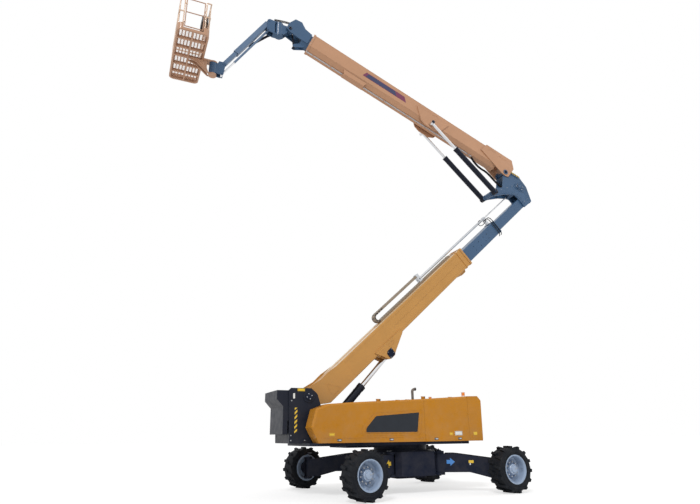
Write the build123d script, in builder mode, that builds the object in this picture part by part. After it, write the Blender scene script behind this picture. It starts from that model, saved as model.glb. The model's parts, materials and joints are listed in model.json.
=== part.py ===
"""Self-propelled articulating boom lift with swing-out axle arms.

Millimetres, +Z up, ground at z = 0.  +X runs towards the counterweight, -Y is the side
that carries the control panel.  The origin lies on the ground under the middle of the
machine's outline; the slewing axis stands SLEW_X from it.
"""
from math import atan2, cos, degrees, hypot, radians, sin, tan
import os

from build123d import *

# ---------------------------------------------------------------- driving dimensions
SLEW_X = 700  # slewing axis from the origin
CLEAR = 5  # between pieces that move past each other
FIT = 0.3  # radial running clearance of a pin or a rod
SEAT = 0.3  # between a sliding pad and the face it runs on

# wheels and axle arms
TYRE_R = 571.5
TYRE_WIDTH = 445
RIM_R = 330
HALF_BASE = 2100  # wheel centre from the slewing axis, along the machine
HALF_TRACK = 2050  # wheel centre from the middle plane
KINGPIN_INSET = 330  # kingpin inboard of the wheel centre
ARM_HUB = (760, 800)  # axle arm's hinge on the chassis, x and y
ARM_HUB_R = 125
ARM_WIDTH = 200
CHASSIS_LOW = 420
CHASSIS_TOP = 1020
KINGPIN_R = 45

# corner name: (x side, y side, steering angle at rest in degrees)
CORNERS = {
    "near_front": (-1, -1, 10),
    "far_front": (-1, 1, 14),
    "near_rear": (1, -1, 5),
    "far_rear": (1, 1, 5),
}

# turntable
RING_R = 740
DECK_LOW = 1200
DECK_TOP = 1270
DECK_HALF = 1180
HOOD_OUTER = 1245  # hood's outer face from the middle plane
CHANNEL_HALF = 660  # boom channel's half width, between the hoods
HOOD_WALL = 30
RISER_Y = 620  # riser plates from the middle plane
RISER_THICK = 40
NOSE_X = -3080
HOOD_SPLIT_X = 120
WEIGHT_X = 1530
TAIL_X = 1990

# lower boom: pivot, angle above the horizontal, sections as (half width, low, top, wall)
LOWER_PIVOT = (-2960, 2410)
LOWER_ANGLE = 42
LOWER_PIN_R = 70
LOWER_END = 7300
MID_START, MID_END = 2600, 9300
INNER_START, INNER_END = 4900, 11350
LOWER_OUTER = (290, -600, 20, 14)
LOWER_MID = (235, -550, -95, 12)
LOWER_INNER = (165, -505, -150, 12)
LIFT_EYE = (2810, -838)  # lower lift cylinder's eye, along and across the boom
LIFT_BASE = (-2350, 1500)  # its base pin on the deck

# upper boom: pivot and cylinder base in the lower boom's frame, angle of the raised boom
UPPER_PIVOT = (11310, 930)
UPPER_BASE = (10120, 660)
UPPER_ANGLE = 157.5
UPPER_PIN_R = 60
UPPER_END = 8500
UPPER_HALF = 215
UPPER_LOW, UPPER_SIDE_LOW, UPPER_TOP = -60, 80, 650
UPPER_WALL = 12
UPPER_EYE = (3420, -20)
TWIN_Y = 350  # upper lift cylinders from the middle plane
UPPER_INNER_START, UPPER_INNER_END = 1900, 8800
HEAD_PIVOT = (9300, 300)
LEVEL_BASE = (8900, -170)  # levelling cylinder's base pin
LEVEL_CRANK = (110, 49)  # its eye from the head's pivot

# boom head, jib and platform
JIB_PIVOT = (-4370, 14630)
JIB_ANGLE = -122.4
JIB_LINK = (-22, -352)  # lower link's pin from the jib's pin
JIB_END = 2590
JIB_SPLIT = 1900
PLATFORM_FLOOR = 12500
PLATFORM_X = (-7270, -6360)
PLATFORM_HALF = 1220
PLATFORM_RAIL = 1100


# ---------------------------------------------------------------- planes and small forms
def side(y=0):
    """Upright plane: x along the machine from the slewing axis, y upwards."""
    return Plane(origin=(SLEW_X, y, 0), x_dir=(1, 0, 0), z_dir=(0, -1, 0))


def level(z, x=0, y=0):
    """Level plane at height z, its origin x, y from the slewing axis."""
    return Plane(origin=(SLEW_X + x, y, z))


def arm(pivot, angle, leans_left=False):
    """Side plane of an arm: x along it, y square to it and upwards."""
    turn = radians(angle)
    facing = 1 if leans_left else -1
    origin = (SLEW_X + pivot[0], 0, pivot[1])
    return Plane(origin=origin, x_dir=(cos(turn), 0, sin(turn)), z_dir=(0, facing, 0))


def across(plane, along):
    """Cross-section plane of an arm: x sideways, y as in the arm's own plane."""
    origin = plane.from_local_coords(Vector(along, 0, 0))
    return Plane(origin=origin, x_dir=-plane.z_dir, z_dir=plane.x_dir)


def point_on(plane, along, up):
    """World x (from the slewing axis) and z of a point in an arm's plane."""
    at = plane.from_local_coords(Vector(along, up, 0))
    return at.X - SLEW_X, at.Z


def span(start, end):
    """Distance and angle in degrees from one x, z point to another."""
    dx, dz = end[0] - start[0], end[1] - start[1]
    return hypot(dx, dz), degrees(atan2(dz, dx))


def box_section(plane, start, end, half, low, top, wall, corner=35):
    """Rounded box tube along an arm."""
    middle = (low + top) / 2
    with BuildSketch(across(plane, start)) as section:
        with Locations((0, middle)):
            RectangleRounded(2 * half, top - low, corner)
            RectangleRounded(2 * (half - wall), top - low - 2 * wall, corner - wall, mode=Mode.SUBTRACT)
    extrude(section.sketch, amount=end - start)


def collar(plane, start, end, half, low, top, thick, inner):
    """Rounded frame round a box tube, bored to a half width, low and top."""
    with BuildSketch(across(plane, start)) as section:
        with Locations((0, (low + top) / 2)):
            RectangleRounded(2 * (half + thick), top - low + 2 * thick, 45)
        with Locations((0, (inner[1] + inner[2]) / 2)):
            RectangleRounded(2 * inner[0], inner[2] - inner[1], 30, mode=Mode.SUBTRACT)
    extrude(section.sketch, amount=end - start)


def crossbar(plane, along, up, radius, half, y=0, mode=Mode.ADD):
    """Round bar across an arm, centred y from the middle plane."""
    with BuildSketch(plane.offset(y * plane.z_dir.Y)) as section:
        with Locations((along, up)):
            Circle(radius)
    extrude(section.sketch, amount=half, both=True, mode=mode)


def rod_along(plane, start, end, radius, y=0, up=0, bore=0, mode=Mode.ADD):
    """Round bar or tube along an arm."""
    cut = across(plane, start)
    with BuildSketch(cut) as section:
        with Locations((y * cut.x_dir.Y, up)):
            Circle(radius)
            if bore:
                Circle(bore, mode=Mode.SUBTRACT)
    extrude(section.sketch, amount=end - start, mode=mode)


def plate(plane, points, y, thick, hole=None, mode=Mode.ADD):
    """Flat plate from a closed outline, centred y from the middle plane."""
    with BuildSketch(plane.offset(y * plane.z_dir.Y)) as outline:
        with BuildLine():
            Polyline(*points, close=True)
        make_face()
        if hole:
            with Locations(hole[:2]):
                Circle(hole[2], mode=Mode.SUBTRACT)
    extrude(outline.sketch, amount=thick / 2, both=True, mode=mode)


def bar(start, end, radius, mode=Mode.ADD):
    """Round bar between two points given from the slewing axis."""
    a = Vector(SLEW_X + start[0], start[1], start[2])
    b = Vector(SLEW_X + end[0], end[1], end[2])
    with BuildSketch(Plane(origin=a, z_dir=b - a)) as section:
        Circle(radius)
    extrude(section.sketch, amount=(b - a).length, mode=mode)


def save(builder, name):
    builder.part.label = name
    export_step(builder.part, f"parts/{name}.step")


os.makedirs("parts", exist_ok=True)
LOWER = arm(LOWER_PIVOT, LOWER_ANGLE)
UPPER = arm(point_on(LOWER, *UPPER_PIVOT), UPPER_ANGLE, leans_left=True)
JIB = arm(JIB_PIVOT, JIB_ANGLE, leans_left=True)


# ---------------------------------------------------------------- chassis
EAR = 60  # thickness of the arm hinge's ears
HUB_LOW, HUB_TOP = CHASSIS_LOW + EAR + CLEAR, CHASSIS_TOP - EAR - CLEAR
RING_LOW = CHASSIS_TOP + 40
TIE_X, TIE_Z, TIE_HOLE_R, TIE_THICK = 965, 440, 32, 40  # tie-down lugs
hub_spots = [(x * ARM_HUB[0], y * ARM_HUB[1]) for x in (-1, 1) for y in (-1, 1)]

with BuildPart() as chassis:
    with BuildSketch(level(CHASSIS_LOW)):
        with BuildLine():
            Polyline((500, 1000), (900, 560), (900, -560), (500, -1000),
                     (-500, -1000), (-900, -560), (-900, 560), (-500, 1000), close=True)
        make_face()
        with Locations(*hub_spots):
            Circle(ARM_HUB_R + 25)
    extrude(amount=CHASSIS_TOP - CHASSIS_LOW)
    with BuildSketch(level(CHASSIS_LOW + EAR)):
        with Locations(*hub_spots):
            Circle(ARM_HUB_R + 30)
    extrude(amount=CHASSIS_TOP - CHASSIS_LOW - 2 * EAR, mode=Mode.SUBTRACT)
    with BuildSketch(level(CHASSIS_LOW - 25)):
        with Locations(*hub_spots):
            Circle(KINGPIN_R)
    extrude(amount=CHASSIS_TOP - CHASSIS_LOW + 50)
    with BuildSketch(level(CHASSIS_LOW - 70)):
        RectangleRounded(900, 1300, 60)
    extrude(amount=70)
    for end in (-1, 1):
        with BuildSketch(level(TIE_Z)) as tie:
            with Locations((end * TIE_X, 0)):
                Circle(75)
            with Locations((end * (TIE_X - 50), 0)):
                Rectangle(100, 150)
            with Locations((end * TIE_X, 0)):
                Circle(TIE_HOLE_R, mode=Mode.SUBTRACT)
        extrude(tie.sketch, amount=TIE_THICK)
    with BuildSketch(level(CHASSIS_TOP)) as ring_seat:
        Circle(RING_R + 130)
    extrude(ring_seat.sketch, amount=RING_LOW - CHASSIS_TOP)
    with BuildSketch(level(RING_LOW)) as race:
        Circle(RING_R)
        Circle(RING_R - 110, mode=Mode.SUBTRACT)
    extrude(race.sketch, amount=70)
save(chassis, "chassis_frame")

KING_LOW, KING_TOP, KING_R = 350, 810, 88  # kingpin housing
ARM_SLIM = 52  # half width of the arm beside the turned wheel
YOKE = 50  # thickness of a knuckle's upper and lower plates
AXLE_Z = TYRE_R
HALF_TYRE = TYRE_WIDTH / 2
LUGS = 14  # on each half of a tyre
BEAD = HALF_TYRE - 12.5
# across, radius of the flats
carcass = [(-HALF_TYRE, 440), (-HALF_TYRE + 22, 522), (HALF_TYRE - 22, 522), (HALF_TYRE, 440)]
dish = [(BEAD, RIM_R + 26), (HALF_TYRE, 432)]
lug_outline = [(214, -58), (214, 20), (110, 32), (4, 56), (4, 4), (110, -26)]  # across, round the tyre
LUG_ROOT = 500
stagger = radians(90 / LUGS)
LUG_TOP = (TYRE_R - 58 * sin(stagger)) / cos(stagger)

for corner, (x_side, y_side, steer) in CORNERS.items():
    hub = Vector(SLEW_X + x_side * ARM_HUB[0], y_side * ARM_HUB[1], 0)
    king = Vector(SLEW_X + x_side * HALF_BASE, y_side * (HALF_TRACK - KINGPIN_INSET), 0)
    reach = (king - hub).length
    run = (king - hub).normalized()
    profile = Plane(origin=hub, x_dir=run, z_dir=run.cross(Vector(0, 0, 1)))
    plan = Plane(origin=hub, x_dir=run, z_dir=(0, 0, 1))

    with BuildPart() as axle_arm:
        with BuildSketch(profile):
            with BuildLine():
                Polyline((0, HUB_LOW), (0, HUB_TOP), (430, HUB_TOP), (reach - 125, KING_TOP),
                         (reach, KING_TOP), (reach, KING_LOW), (reach - 290, KING_LOW),
                         (reach - 820, HUB_LOW), close=True)
            make_face()
        extrude(amount=ARM_WIDTH, both=True)
        wheel_side = x_side * y_side
        with BuildSketch(plan):
            with BuildLine():
                Polyline((0, wheel_side * ARM_HUB_R), (380, wheel_side * (ARM_WIDTH / 2 + 10)),
                         (reach - 700, wheel_side * ARM_SLIM), (reach, wheel_side * ARM_SLIM),
                         (reach, -wheel_side * KING_R), (reach - 640, -wheel_side * 112),
                         (380, -wheel_side * (ARM_WIDTH / 2 + 10)), (0, -wheel_side * ARM_HUB_R), close=True)
            make_face()
            Circle(ARM_HUB_R)
            with Locations((reach, 0)):
                Circle(KING_R)
        extrude(amount=CHASSIS_TOP, mode=Mode.INTERSECT)
        with BuildSketch(plan.offset(HUB_LOW)):
            Circle(ARM_HUB_R)
        extrude(amount=HUB_TOP - HUB_LOW)
        with BuildSketch(plan.offset(KING_LOW)):
            with Locations((reach, 0)):
                Circle(KING_R)
        extrude(amount=KING_TOP - KING_LOW)
        with BuildSketch(plan):
            Circle(KINGPIN_R + FIT)
            with Locations((reach, 0)):
                Circle(KINGPIN_R + FIT)
        extrude(amount=CHASSIS_TOP, mode=Mode.SUBTRACT)
    save(axle_arm, f"axle_arm_{corner}")

    turn = radians(steer)
    out = Vector(-y_side * sin(turn), y_side * cos(turn), 0)
    hub_plane = Plane(origin=king, x_dir=out, z_dir=(0, 0, 1))
    axle = Plane(origin=king + Vector(0, 0, AXLE_Z), x_dir=Vector(0, 0, 1).cross(out), z_dir=out)

    with BuildPart() as knuckle:
        for low in (KING_LOW - CLEAR - YOKE, KING_TOP + CLEAR):
            with BuildSketch(hub_plane.offset(low)):
                Circle(KING_R)
                with Locations((65, 0)):
                    Rectangle(130, 2 * KING_R)
            extrude(amount=YOKE)
        with BuildSketch(hub_plane.offset(KING_LOW - CLEAR - YOKE)):
            with Locations((114, 0)):
                Rectangle(32, 2 * KING_R)
        extrude(amount=KING_TOP - KING_LOW + 2 * (CLEAR + YOKE))
        with BuildSketch(hub_plane.offset(KING_LOW - CLEAR - YOKE - 12)):
            Circle(KINGPIN_R)
        extrude(amount=KING_TOP - KING_LOW + 2 * (CLEAR + YOKE + 12))
        with BuildSketch(axle.offset(100)):
            Circle(170)
        extrude(amount=90)
        with BuildSketch(axle.offset(190)):
            Circle(135)
        extrude(amount=50 - SEAT)
    save(knuckle, f"steer_knuckle_{corner}")

    # across the wheel: x outwards from the wheel's middle, y is the radius
    ring_plane = Plane(origin=axle.offset(KINGPIN_INSET).origin, x_dir=out, z_dir=out.cross(Vector(0, 0, 1)))
    inboard = 240 - KINGPIN_INSET
    with BuildPart() as rim:
        with BuildSketch(ring_plane):
            with BuildLine():
                Polyline((-HALF_TYRE + 12, RIM_R + 25), (-HALF_TYRE, RIM_R + 25), (-HALF_TYRE, RIM_R - 18),
                         (inboard, RIM_R - 18), (inboard, 0), (inboard + 170, 0), (inboard + 170, 110),
                         (inboard + 150, 135), (inboard + 22, 150), (inboard + 22, 215), (inboard + 60, 240),
                         (inboard + 95, RIM_R - 30), (HALF_TYRE - 40, RIM_R - 18), (HALF_TYRE, RIM_R),
                         (HALF_TYRE, RIM_R + 25), (HALF_TYRE - 12, RIM_R + 25), (HALF_TYRE - 12, RIM_R + 3),
                         (-HALF_TYRE + 12, RIM_R + 3), close=True)
            make_face()
        revolve(axis=Axis(ring_plane.origin, out))
    save(rim, f"rim_{corner}")

    # tyre: a ring of flats with deep lugs, on the wheel's middle plane
    wheel = Plane(origin=ring_plane.origin, x_dir=(0, 0, -1), z_dir=out)
    with BuildPart() as tyre:
        for (start, start_r), (end, end_r) in zip(carcass, carcass[1:]):
            with BuildSketch(wheel.offset(start)) as foot:
                RegularPolygon(start_r, LUGS, major_radius=False, rotation=180 / LUGS)
            with BuildSketch(wheel.offset(end)) as head:
                RegularPolygon(end_r, LUGS, major_radius=False, rotation=180 / LUGS)
            loft([foot.sketch, head.sketch], ruled=True)
        for side_sign in (-1, 1):
            for k in range(LUGS):
                turn = radians((k + side_sign * 0.25) * 360 / LUGS)
                spoke = wheel.x_dir * cos(turn) + wheel.y_dir * sin(turn)
                tread = Plane(origin=wheel.origin + spoke * LUG_ROOT, x_dir=out, z_dir=spoke)
                with BuildSketch(tread) as lug:
                    with BuildLine():
                        Polyline(*[(side_sign * u, side_sign * t) for u, t in lug_outline], close=True)
                    make_face()
                extrude(lug.sketch, amount=LUG_TOP - LUG_ROOT)
        for side_sign in (-1, 1):
            with BuildSketch(wheel.offset(side_sign * dish[0][0])) as foot:
                RegularPolygon(dish[0][1], LUGS, major_radius=False, rotation=180 / LUGS)
            with BuildSketch(wheel.offset(side_sign * dish[1][0])) as head:
                RegularPolygon(dish[1][1], LUGS, major_radius=False, rotation=180 / LUGS)
            loft([foot.sketch, head.sketch], ruled=True, mode=Mode.SUBTRACT)
        with BuildSketch(wheel.offset(-HALF_TYRE)) as bore_ring:
            RegularPolygon(RIM_R + 3, 2 * LUGS, major_radius=False)
        extrude(bore_ring.sketch, amount=TYRE_WIDTH, mode=Mode.SUBTRACT)
    save(tyre, f"tyre_{corner}")

# ---------------------------------------------------------------- turntable
# hood outline seen from the side: nose, top edge rising to the counterweight
hood_line = [(-3080, 1640), (-2960, 2080), (-2640, 2200), (-1920, 2250), (120, 2360), (1530, 2450),
             (1880, 2460), (TAIL_X, 2340), (TAIL_X - 30, DECK_TOP), (-2870, DECK_TOP)]


def hood_top(x):
    for (x0, z0), (x1, z1) in zip(hood_line, hood_line[1:]):
        if x0 <= x <= x1:
            return z0 + (z1 - z0) * (x - x0) / (x1 - x0)
    raise ValueError(x)


HINGE_Y = CHANNEL_HALF + 100
spans = {"front": (NOSE_X, HOOD_SPLIT_X - 2.5), "mid": (HOOD_SPLIT_X + 2.5, WEIGHT_X - 5)}
HINGE_R, HINGE_PIN_R = 9, 5
hinge_axis_y = HINGE_Y - 2.5
hinge_spots = {name: (x1 - 1150, x1 - 250) for name, (x0, x1) in spans.items()}
hinge_z = {name: hood_top(x1) + 2 for name, (x0, x1) in spans.items()}
STRIP_Y, STRIP_WIDTH = CHANNEL_HALF + 48, 94
strip = [(-2600, 2100), (-2600, 2140), (HOOD_SPLIT_X, 2355),
         (WEIGHT_X, 2440), (WEIGHT_X, 2400), (HOOD_SPLIT_X, 2315)]
with BuildPart() as turntable:
    with BuildSketch(level(RING_LOW + 70 + SEAT)):
        Circle(RING_R)
        Circle(RING_R - 110, mode=Mode.SUBTRACT)
    extrude(amount=DECK_LOW - RING_LOW - 70 - SEAT)
    with BuildSketch(level(DECK_LOW)):
        with BuildLine():
            Polyline((NOSE_X + 60, -DECK_HALF + 250), (NOSE_X + 300, -DECK_HALF),
                     (WEIGHT_X, -DECK_HALF), (WEIGHT_X, DECK_HALF),
                     (NOSE_X + 300, DECK_HALF), (NOSE_X + 60, DECK_HALF - 250), close=True)
        make_face()
    extrude(amount=DECK_TOP - DECK_LOW)
    with BuildSketch(level(DECK_LOW)):
        with Locations((-1100, 0)):
            RectangleRounded(1600, 1300, 80)
    extrude(amount=-60)
    # channel walls between the hoods
    for y in (-CHANNEL_HALF - 8, CHANNEL_HALF + 8):
        plate(side(), [(-2520, DECK_TOP), (WEIGHT_X, DECK_TOP), (WEIGHT_X, 2380), (-2600, 2120)], y, 16)
    # fixed strips along the lids' inner edges
    for y in (-STRIP_Y, STRIP_Y):
        plate(side(), strip, y, STRIP_WIDTH)
    # the lids' hinge pins, each on a lug of its strip
    for name, spots in hinge_spots.items():
        for x in spots:
            for y in (-hinge_axis_y, hinge_axis_y):
                lug_low = hood_top(x) - 40
                with BuildSketch(level(lug_low, x + 70, y * (1 - 20 / hinge_axis_y))):
                    Rectangle(40, 40)
                extrude(amount=hinge_z[name] - lug_low)
                bar((x + 50, y, hinge_z[name]), (x + 90, y, hinge_z[name]), HINGE_R)
                bar((x - 45, y, hinge_z[name]), (x + 60, y, hinge_z[name]), HINGE_PIN_R)
    # base lugs of the lower lift cylinder
    for y in (-190, 190):
        plate(side(), [(LIFT_BASE[0] - 260, DECK_TOP), (LIFT_BASE[0] + 260, DECK_TOP),
                       (LIFT_BASE[0] + 110, LIFT_BASE[1] + 60), (LIFT_BASE[0] + 50, LIFT_BASE[1] + 110),
                       (LIFT_BASE[0] - 50, LIFT_BASE[1] + 110),
                       (LIFT_BASE[0] - 110, LIFT_BASE[1] + 60)], y, 40)
    crossbar(side(), *LIFT_BASE, 55, 235)
save(turntable, "turntable_frame")

riser_outline = [(-3460, DECK_TOP), (-3500, 2560), (-3440, 2620), (-2890, 2620), (-2720, 2480), (-2630, 2210),
                 (-2680, 1700), (-2560, DECK_TOP)]
with BuildPart() as riser:
    for y in (-RISER_Y, RISER_Y):
        plate(side(), riser_outline, y, RISER_THICK)
        crossbar(side(), *LOWER_PIVOT, 150, RISER_THICK / 2 + 25, y=y)
    with BuildSketch(level(DECK_TOP)):
        with Locations((-3040, 0)):
            Rectangle(840, 2 * RISER_Y)
    extrude(amount=40)
    with BuildSketch(level(DECK_TOP)):
        with Locations((-3440, 0)):
            Rectangle(40, 2 * RISER_Y)
    extrude(amount=550)
    crossbar(side(), *LOWER_PIVOT, LOWER_PIN_R, RISER_Y + 70)
save(riser, "boom_riser")

with BuildPart() as front_guard:
    for y in (-590, 590):
        plate(side(), [(-3505, 1490), (-3630, 1490), (-3630, 2160), (-3800, 2340),
                       (-3800, 2560), (-3440, 2560), (-3440, 1830), (-3505, 1830)], y, 20)
    plate(side(), [(-3505, 1490), (-3630, 1490), (-3630, 2160), (-3800, 2340), (-3800, 2560),
                   (-3788, 2560), (-3788, 2345), (-3618, 2165), (-3618, 1502), (-3505, 1502)], 0, 1180)
save(front_guard, "front_guard")

LID_LOW = DECK_TOP + SEAT
for flank, y_side in (("near", -1), ("far", 1)):
    for part_name, (x0, x1) in spans.items():
        with BuildPart() as hood:
            if part_name == "front":
                outline = [p for p in hood_line if p[0] < x1] + [(x1, hood_top(x1)), (x1, LID_LOW)]
                outline = [p for p in outline if p[1] > DECK_TOP] + [(-2870, LID_LOW)]
            else:
                outline = [(x0, LID_LOW), (x0, hood_top(x0)), (x1, hood_top(x1)), (x1, LID_LOW)]
            middle = (HOOD_OUTER + HINGE_Y) / 2
            plate(side(), outline, y_side * middle, HOOD_OUTER - HINGE_Y)
            outer_edges = edges().filter_by(Axis.Y, reverse=True).filter_by(
                lambda e: abs(abs(e.center().Y) - HOOD_OUTER) < 1 and e.center().Z > DECK_TOP + 10)
            chamfer(outer_edges.filter_by(lambda e: abs(e.center().X - SLEW_X - x0) > 10
                                          and abs(e.center().X - SLEW_X - x1) > 10), 45)
            inner = HOOD_OUTER - HOOD_WALL
            with BuildSketch(side(y_side * (HINGE_Y - 10))) as hollow:
                with BuildLine():
                    Polyline(*outline, close=True)
                make_face()
                offset(amount=-HOOD_WALL, mode=Mode.REPLACE)
                low_x = max(x0 + HOOD_WALL, -2840)
                with Locations(((low_x + x1 - HOOD_WALL) / 2, DECK_TOP + 50)):
                    Rectangle(x1 - HOOD_WALL - low_x, 100)
            extrude(hollow.sketch, amount=-y_side * (inner - HINGE_Y + 10), mode=Mode.SUBTRACT)
            # hinge ears
            for x in hinge_spots[part_name]:
                axis_z = hinge_z[part_name]
                ear_low = hood_top(x) - HOOD_WALL
                with BuildSketch(level(ear_low, x, y_side * (HINGE_Y + 20))) as ear:
                    Rectangle(90, 40)
                extrude(ear.sketch, amount=axis_z - ear_low)
                ends = [(x + dx, y_side * hinge_axis_y, axis_z) for dx in (-45, 45)]
                bar(*ends, HINGE_R)
                bar(*ends, HINGE_PIN_R + FIT, mode=Mode.SUBTRACT)
        save(hood, f"hood_{flank}_{part_name}")

with BuildPart() as weight:
    plate(side(), [(WEIGHT_X, DECK_TOP), (WEIGHT_X, 2450), (1880, 2460),
                   (TAIL_X, 2340), (TAIL_X - 30, DECK_TOP)], 0, 2 * HOOD_OUTER)
    with BuildSketch(level(1700)):
        with Locations(((WEIGHT_X + TAIL_X) / 2, 0)):
            Rectangle(TAIL_X - WEIGHT_X + 200, 2 * CHANNEL_HALF)
    extrude(amount=900, mode=Mode.SUBTRACT)
save(weight, "counterweight")

with BuildPart() as engine:
    with BuildSketch(level(DECK_TOP)):
        with Locations((820, 940)):
            Rectangle(1050, 420)
    extrude(amount=760)
save(engine, "engine_block")

with BuildPart() as exhaust:
    with BuildSketch(level(2380, 900, STRIP_Y)):
        Circle(40)
    extrude(amount=325)
    plate(side(), strip, STRIP_Y, STRIP_WIDTH, mode=Mode.SUBTRACT)
save(exhaust, "exhaust_pipe")

# ---------------------------------------------------------------- lower lift cylinder
lift_eye = point_on(LOWER, *LIFT_EYE)
lift_length, lift_angle = span(LIFT_BASE, lift_eye)
LIFT = arm(LIFT_BASE, lift_angle)
LIFT_TUBE_R, LIFT_ROD_R = 114, 70
with BuildPart() as lift_tube:
    crossbar(LIFT, 0, 0, 105, 150)
    rod_along(LIFT, 60, 1750, LIFT_TUBE_R)
    rod_along(LIFT, 1640, 1750, LIFT_TUBE_R + 7)
    rod_along(LIFT, 1500, 1520, LIFT_TUBE_R + 5)
    rod_along(LIFT, 150, 1640, 90, mode=Mode.SUBTRACT)
    rod_along(LIFT, 1630, 1750, LIFT_ROD_R + FIT, mode=Mode.SUBTRACT)
    crossbar(LIFT, 0, 0, 55 + FIT, 160, mode=Mode.SUBTRACT)
save(lift_tube, "lower_lift_tube")
with BuildPart() as lift_rod:
    rod_along(LIFT, 1000, lift_length - 40, LIFT_ROD_R)
    rod_along(LIFT, 1000, 1060, 88)
    crossbar(LIFT, lift_length, 0, 70, 125)
save(lift_rod, "lower_lift_rod")

# ---------------------------------------------------------------- lower boom


def pads(plane, start, end, inside, outside, on_outer=True):
    """Four wear pads between two nested box tubes, fixed to one and SEAT from the other."""
    near, far = (SEAT, 0) if on_outer else (0, SEAT)
    half, low, top = inside[0] + near, inside[1] - near, inside[2] + near
    out_half, out_low, out_top = outside[0] - far, outside[1] + far, outside[2] - far
    blocks = [
        (0, (low + out_low) / 2, half, low - out_low),
        (0, (top + out_top) / 2, half, out_top - top),
        ((half + out_half) / 2, (low + top) / 2, out_half - half, (top - low) * 0.5),
        (-(half + out_half) / 2, (low + top) / 2, out_half - half, (top - low) * 0.5),
    ]
    for x, y, width, height in blocks:
        with BuildSketch(across(plane, start)) as section:
            with Locations((x, y)):
                Rectangle(width, height)
        extrude(section.sketch, amount=end - start)


def bore(section):
    """Inside of a box section: half width, low and top."""
    half, low, top, wall = section
    return half - wall, low + wall, top - wall


def skin(section):
    """Outside of a box section: half width, low and top."""
    return section[:3]


with BuildPart() as lower_outer:
    box_section(LOWER, 480, LOWER_END, *LOWER_OUTER)
    half = LOWER_OUTER[0]
    for y in (-half - 14, half + 14):
        plate(LOWER, [(-170, -90), (-150, 90), (-40, 180), (190, 140), (640, 50), (940, 60), (1500, 0),
                      (1500, -580), (480, -590), (60, -330)], y, 28)
        plate(LOWER, [(2400, -480), (2560, -730), (2640, -890), (2720, -925), (2880, -925), (2960, -870),
                      (3560, -600), (3560, -480)], y, 28)
    for y in (-160, 160):
        plate(LOWER, [(2450, -600), (2640, -880), (2720, -915), (2880, -915),
                      (2960, -870), (3400, -600)], y, 30)
    crossbar(LOWER, 0, 0, 115, 568)
    crossbar(LOWER, 0, 0, LOWER_PIN_R + FIT, 600, mode=Mode.SUBTRACT)
    for start, end in ((7020, 7045), (7225, LOWER_END)):
        collar(LOWER, start, end, *skin(LOWER_OUTER), 18, bore(LOWER_OUTER))
    pads(LOWER, 7150, 7270, skin(LOWER_MID), bore(LOWER_OUTER))
    # chain tray and bottom stop
    with BuildSketch(across(LOWER, 3100)):
        with Locations((0, LOWER_OUTER[2] + 5)):
            Rectangle(240, 10)
    extrude(amount=3900)
    plate(LOWER, [(6700, -600), (6760, -690), (6960, -690), (7020, -600)], 0, 300)
save(lower_outer, "lower_boom_outer")

with BuildPart() as lower_mid:
    box_section(LOWER, MID_START, MID_END, *LOWER_MID)
    collar(LOWER, MID_END - 80, MID_END, *skin(LOWER_MID), 14, bore(LOWER_MID))
    pads(LOWER, MID_END - 150, MID_END - 30, skin(LOWER_INNER), bore(LOWER_MID))
    pads(LOWER, MID_START + 30, MID_START + 150, skin(LOWER_MID), bore(LOWER_OUTER), on_outer=False)
save(lower_mid, "lower_boom_mid")

with BuildPart() as lower_inner:
    box_section(LOWER, INNER_START, INNER_END, *LOWER_INNER)
save(lower_inner, "lower_boom_inner")

# cable chain: lower run on the boom, loop, and upper run to the carrier tube
CHAIN_LOW, CHAIN_THICK, CHAIN_LOOP_R = 30, 65, 150
LOOP_S = 3350
CARRIER_N = CHAIN_LOW + CHAIN_LOOP_R
with BuildPart() as chain:
    with BuildSketch(LOWER):
        with Locations(((LOOP_S + 6900) / 2, CHAIN_LOW + CHAIN_THICK / 2)):
            Rectangle(6900 - LOOP_S, CHAIN_THICK)
        with Locations(((LOOP_S + 5340) / 2, CHAIN_LOW + 2 * CHAIN_LOOP_R - CHAIN_THICK / 2)):
            Rectangle(5340 - LOOP_S, CHAIN_THICK)
        with Locations((LOOP_S, CHAIN_LOW + CHAIN_LOOP_R)):
            Circle(CHAIN_LOOP_R)
            Circle(CHAIN_LOOP_R - CHAIN_THICK, mode=Mode.SUBTRACT)
        with Locations((LOOP_S + CHAIN_LOOP_R / 2, CHAIN_LOW + CHAIN_LOOP_R)):
            Rectangle(CHAIN_LOOP_R, 2 * (CHAIN_LOOP_R - CHAIN_THICK), mode=Mode.SUBTRACT)
    extrude(amount=85, both=True)
save(chain, "cable_chain")

with BuildPart() as carrier:
    rod_along(LOWER, 5400, 9240, 40, up=CARRIER_N, bore=27)
    with BuildSketch(LOWER):
        with Locations((5400, CARRIER_N + 45)):
            Rectangle(110, 260)
        with Locations((5400, CARRIER_N)):
            Circle(30, mode=Mode.SUBTRACT)
    extrude(amount=80, both=True)
    with BuildSketch(LOWER):
        with Locations((9200, (CARRIER_N + LOWER_MID[2] + 14) / 2)):
            Rectangle(80, CARRIER_N - LOWER_MID[2] - 14)
        with Locations((9200, CARRIER_N)):
            Circle(60)
            Circle(27, mode=Mode.SUBTRACT)
    extrude(amount=60, both=True)
    with BuildSketch(across(LOWER, 5300)):
        with Locations((0, CARRIER_N)):
            Circle(27)
    extrude(amount=4000, mode=Mode.SUBTRACT)
save(carrier, "hose_carrier")

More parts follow.
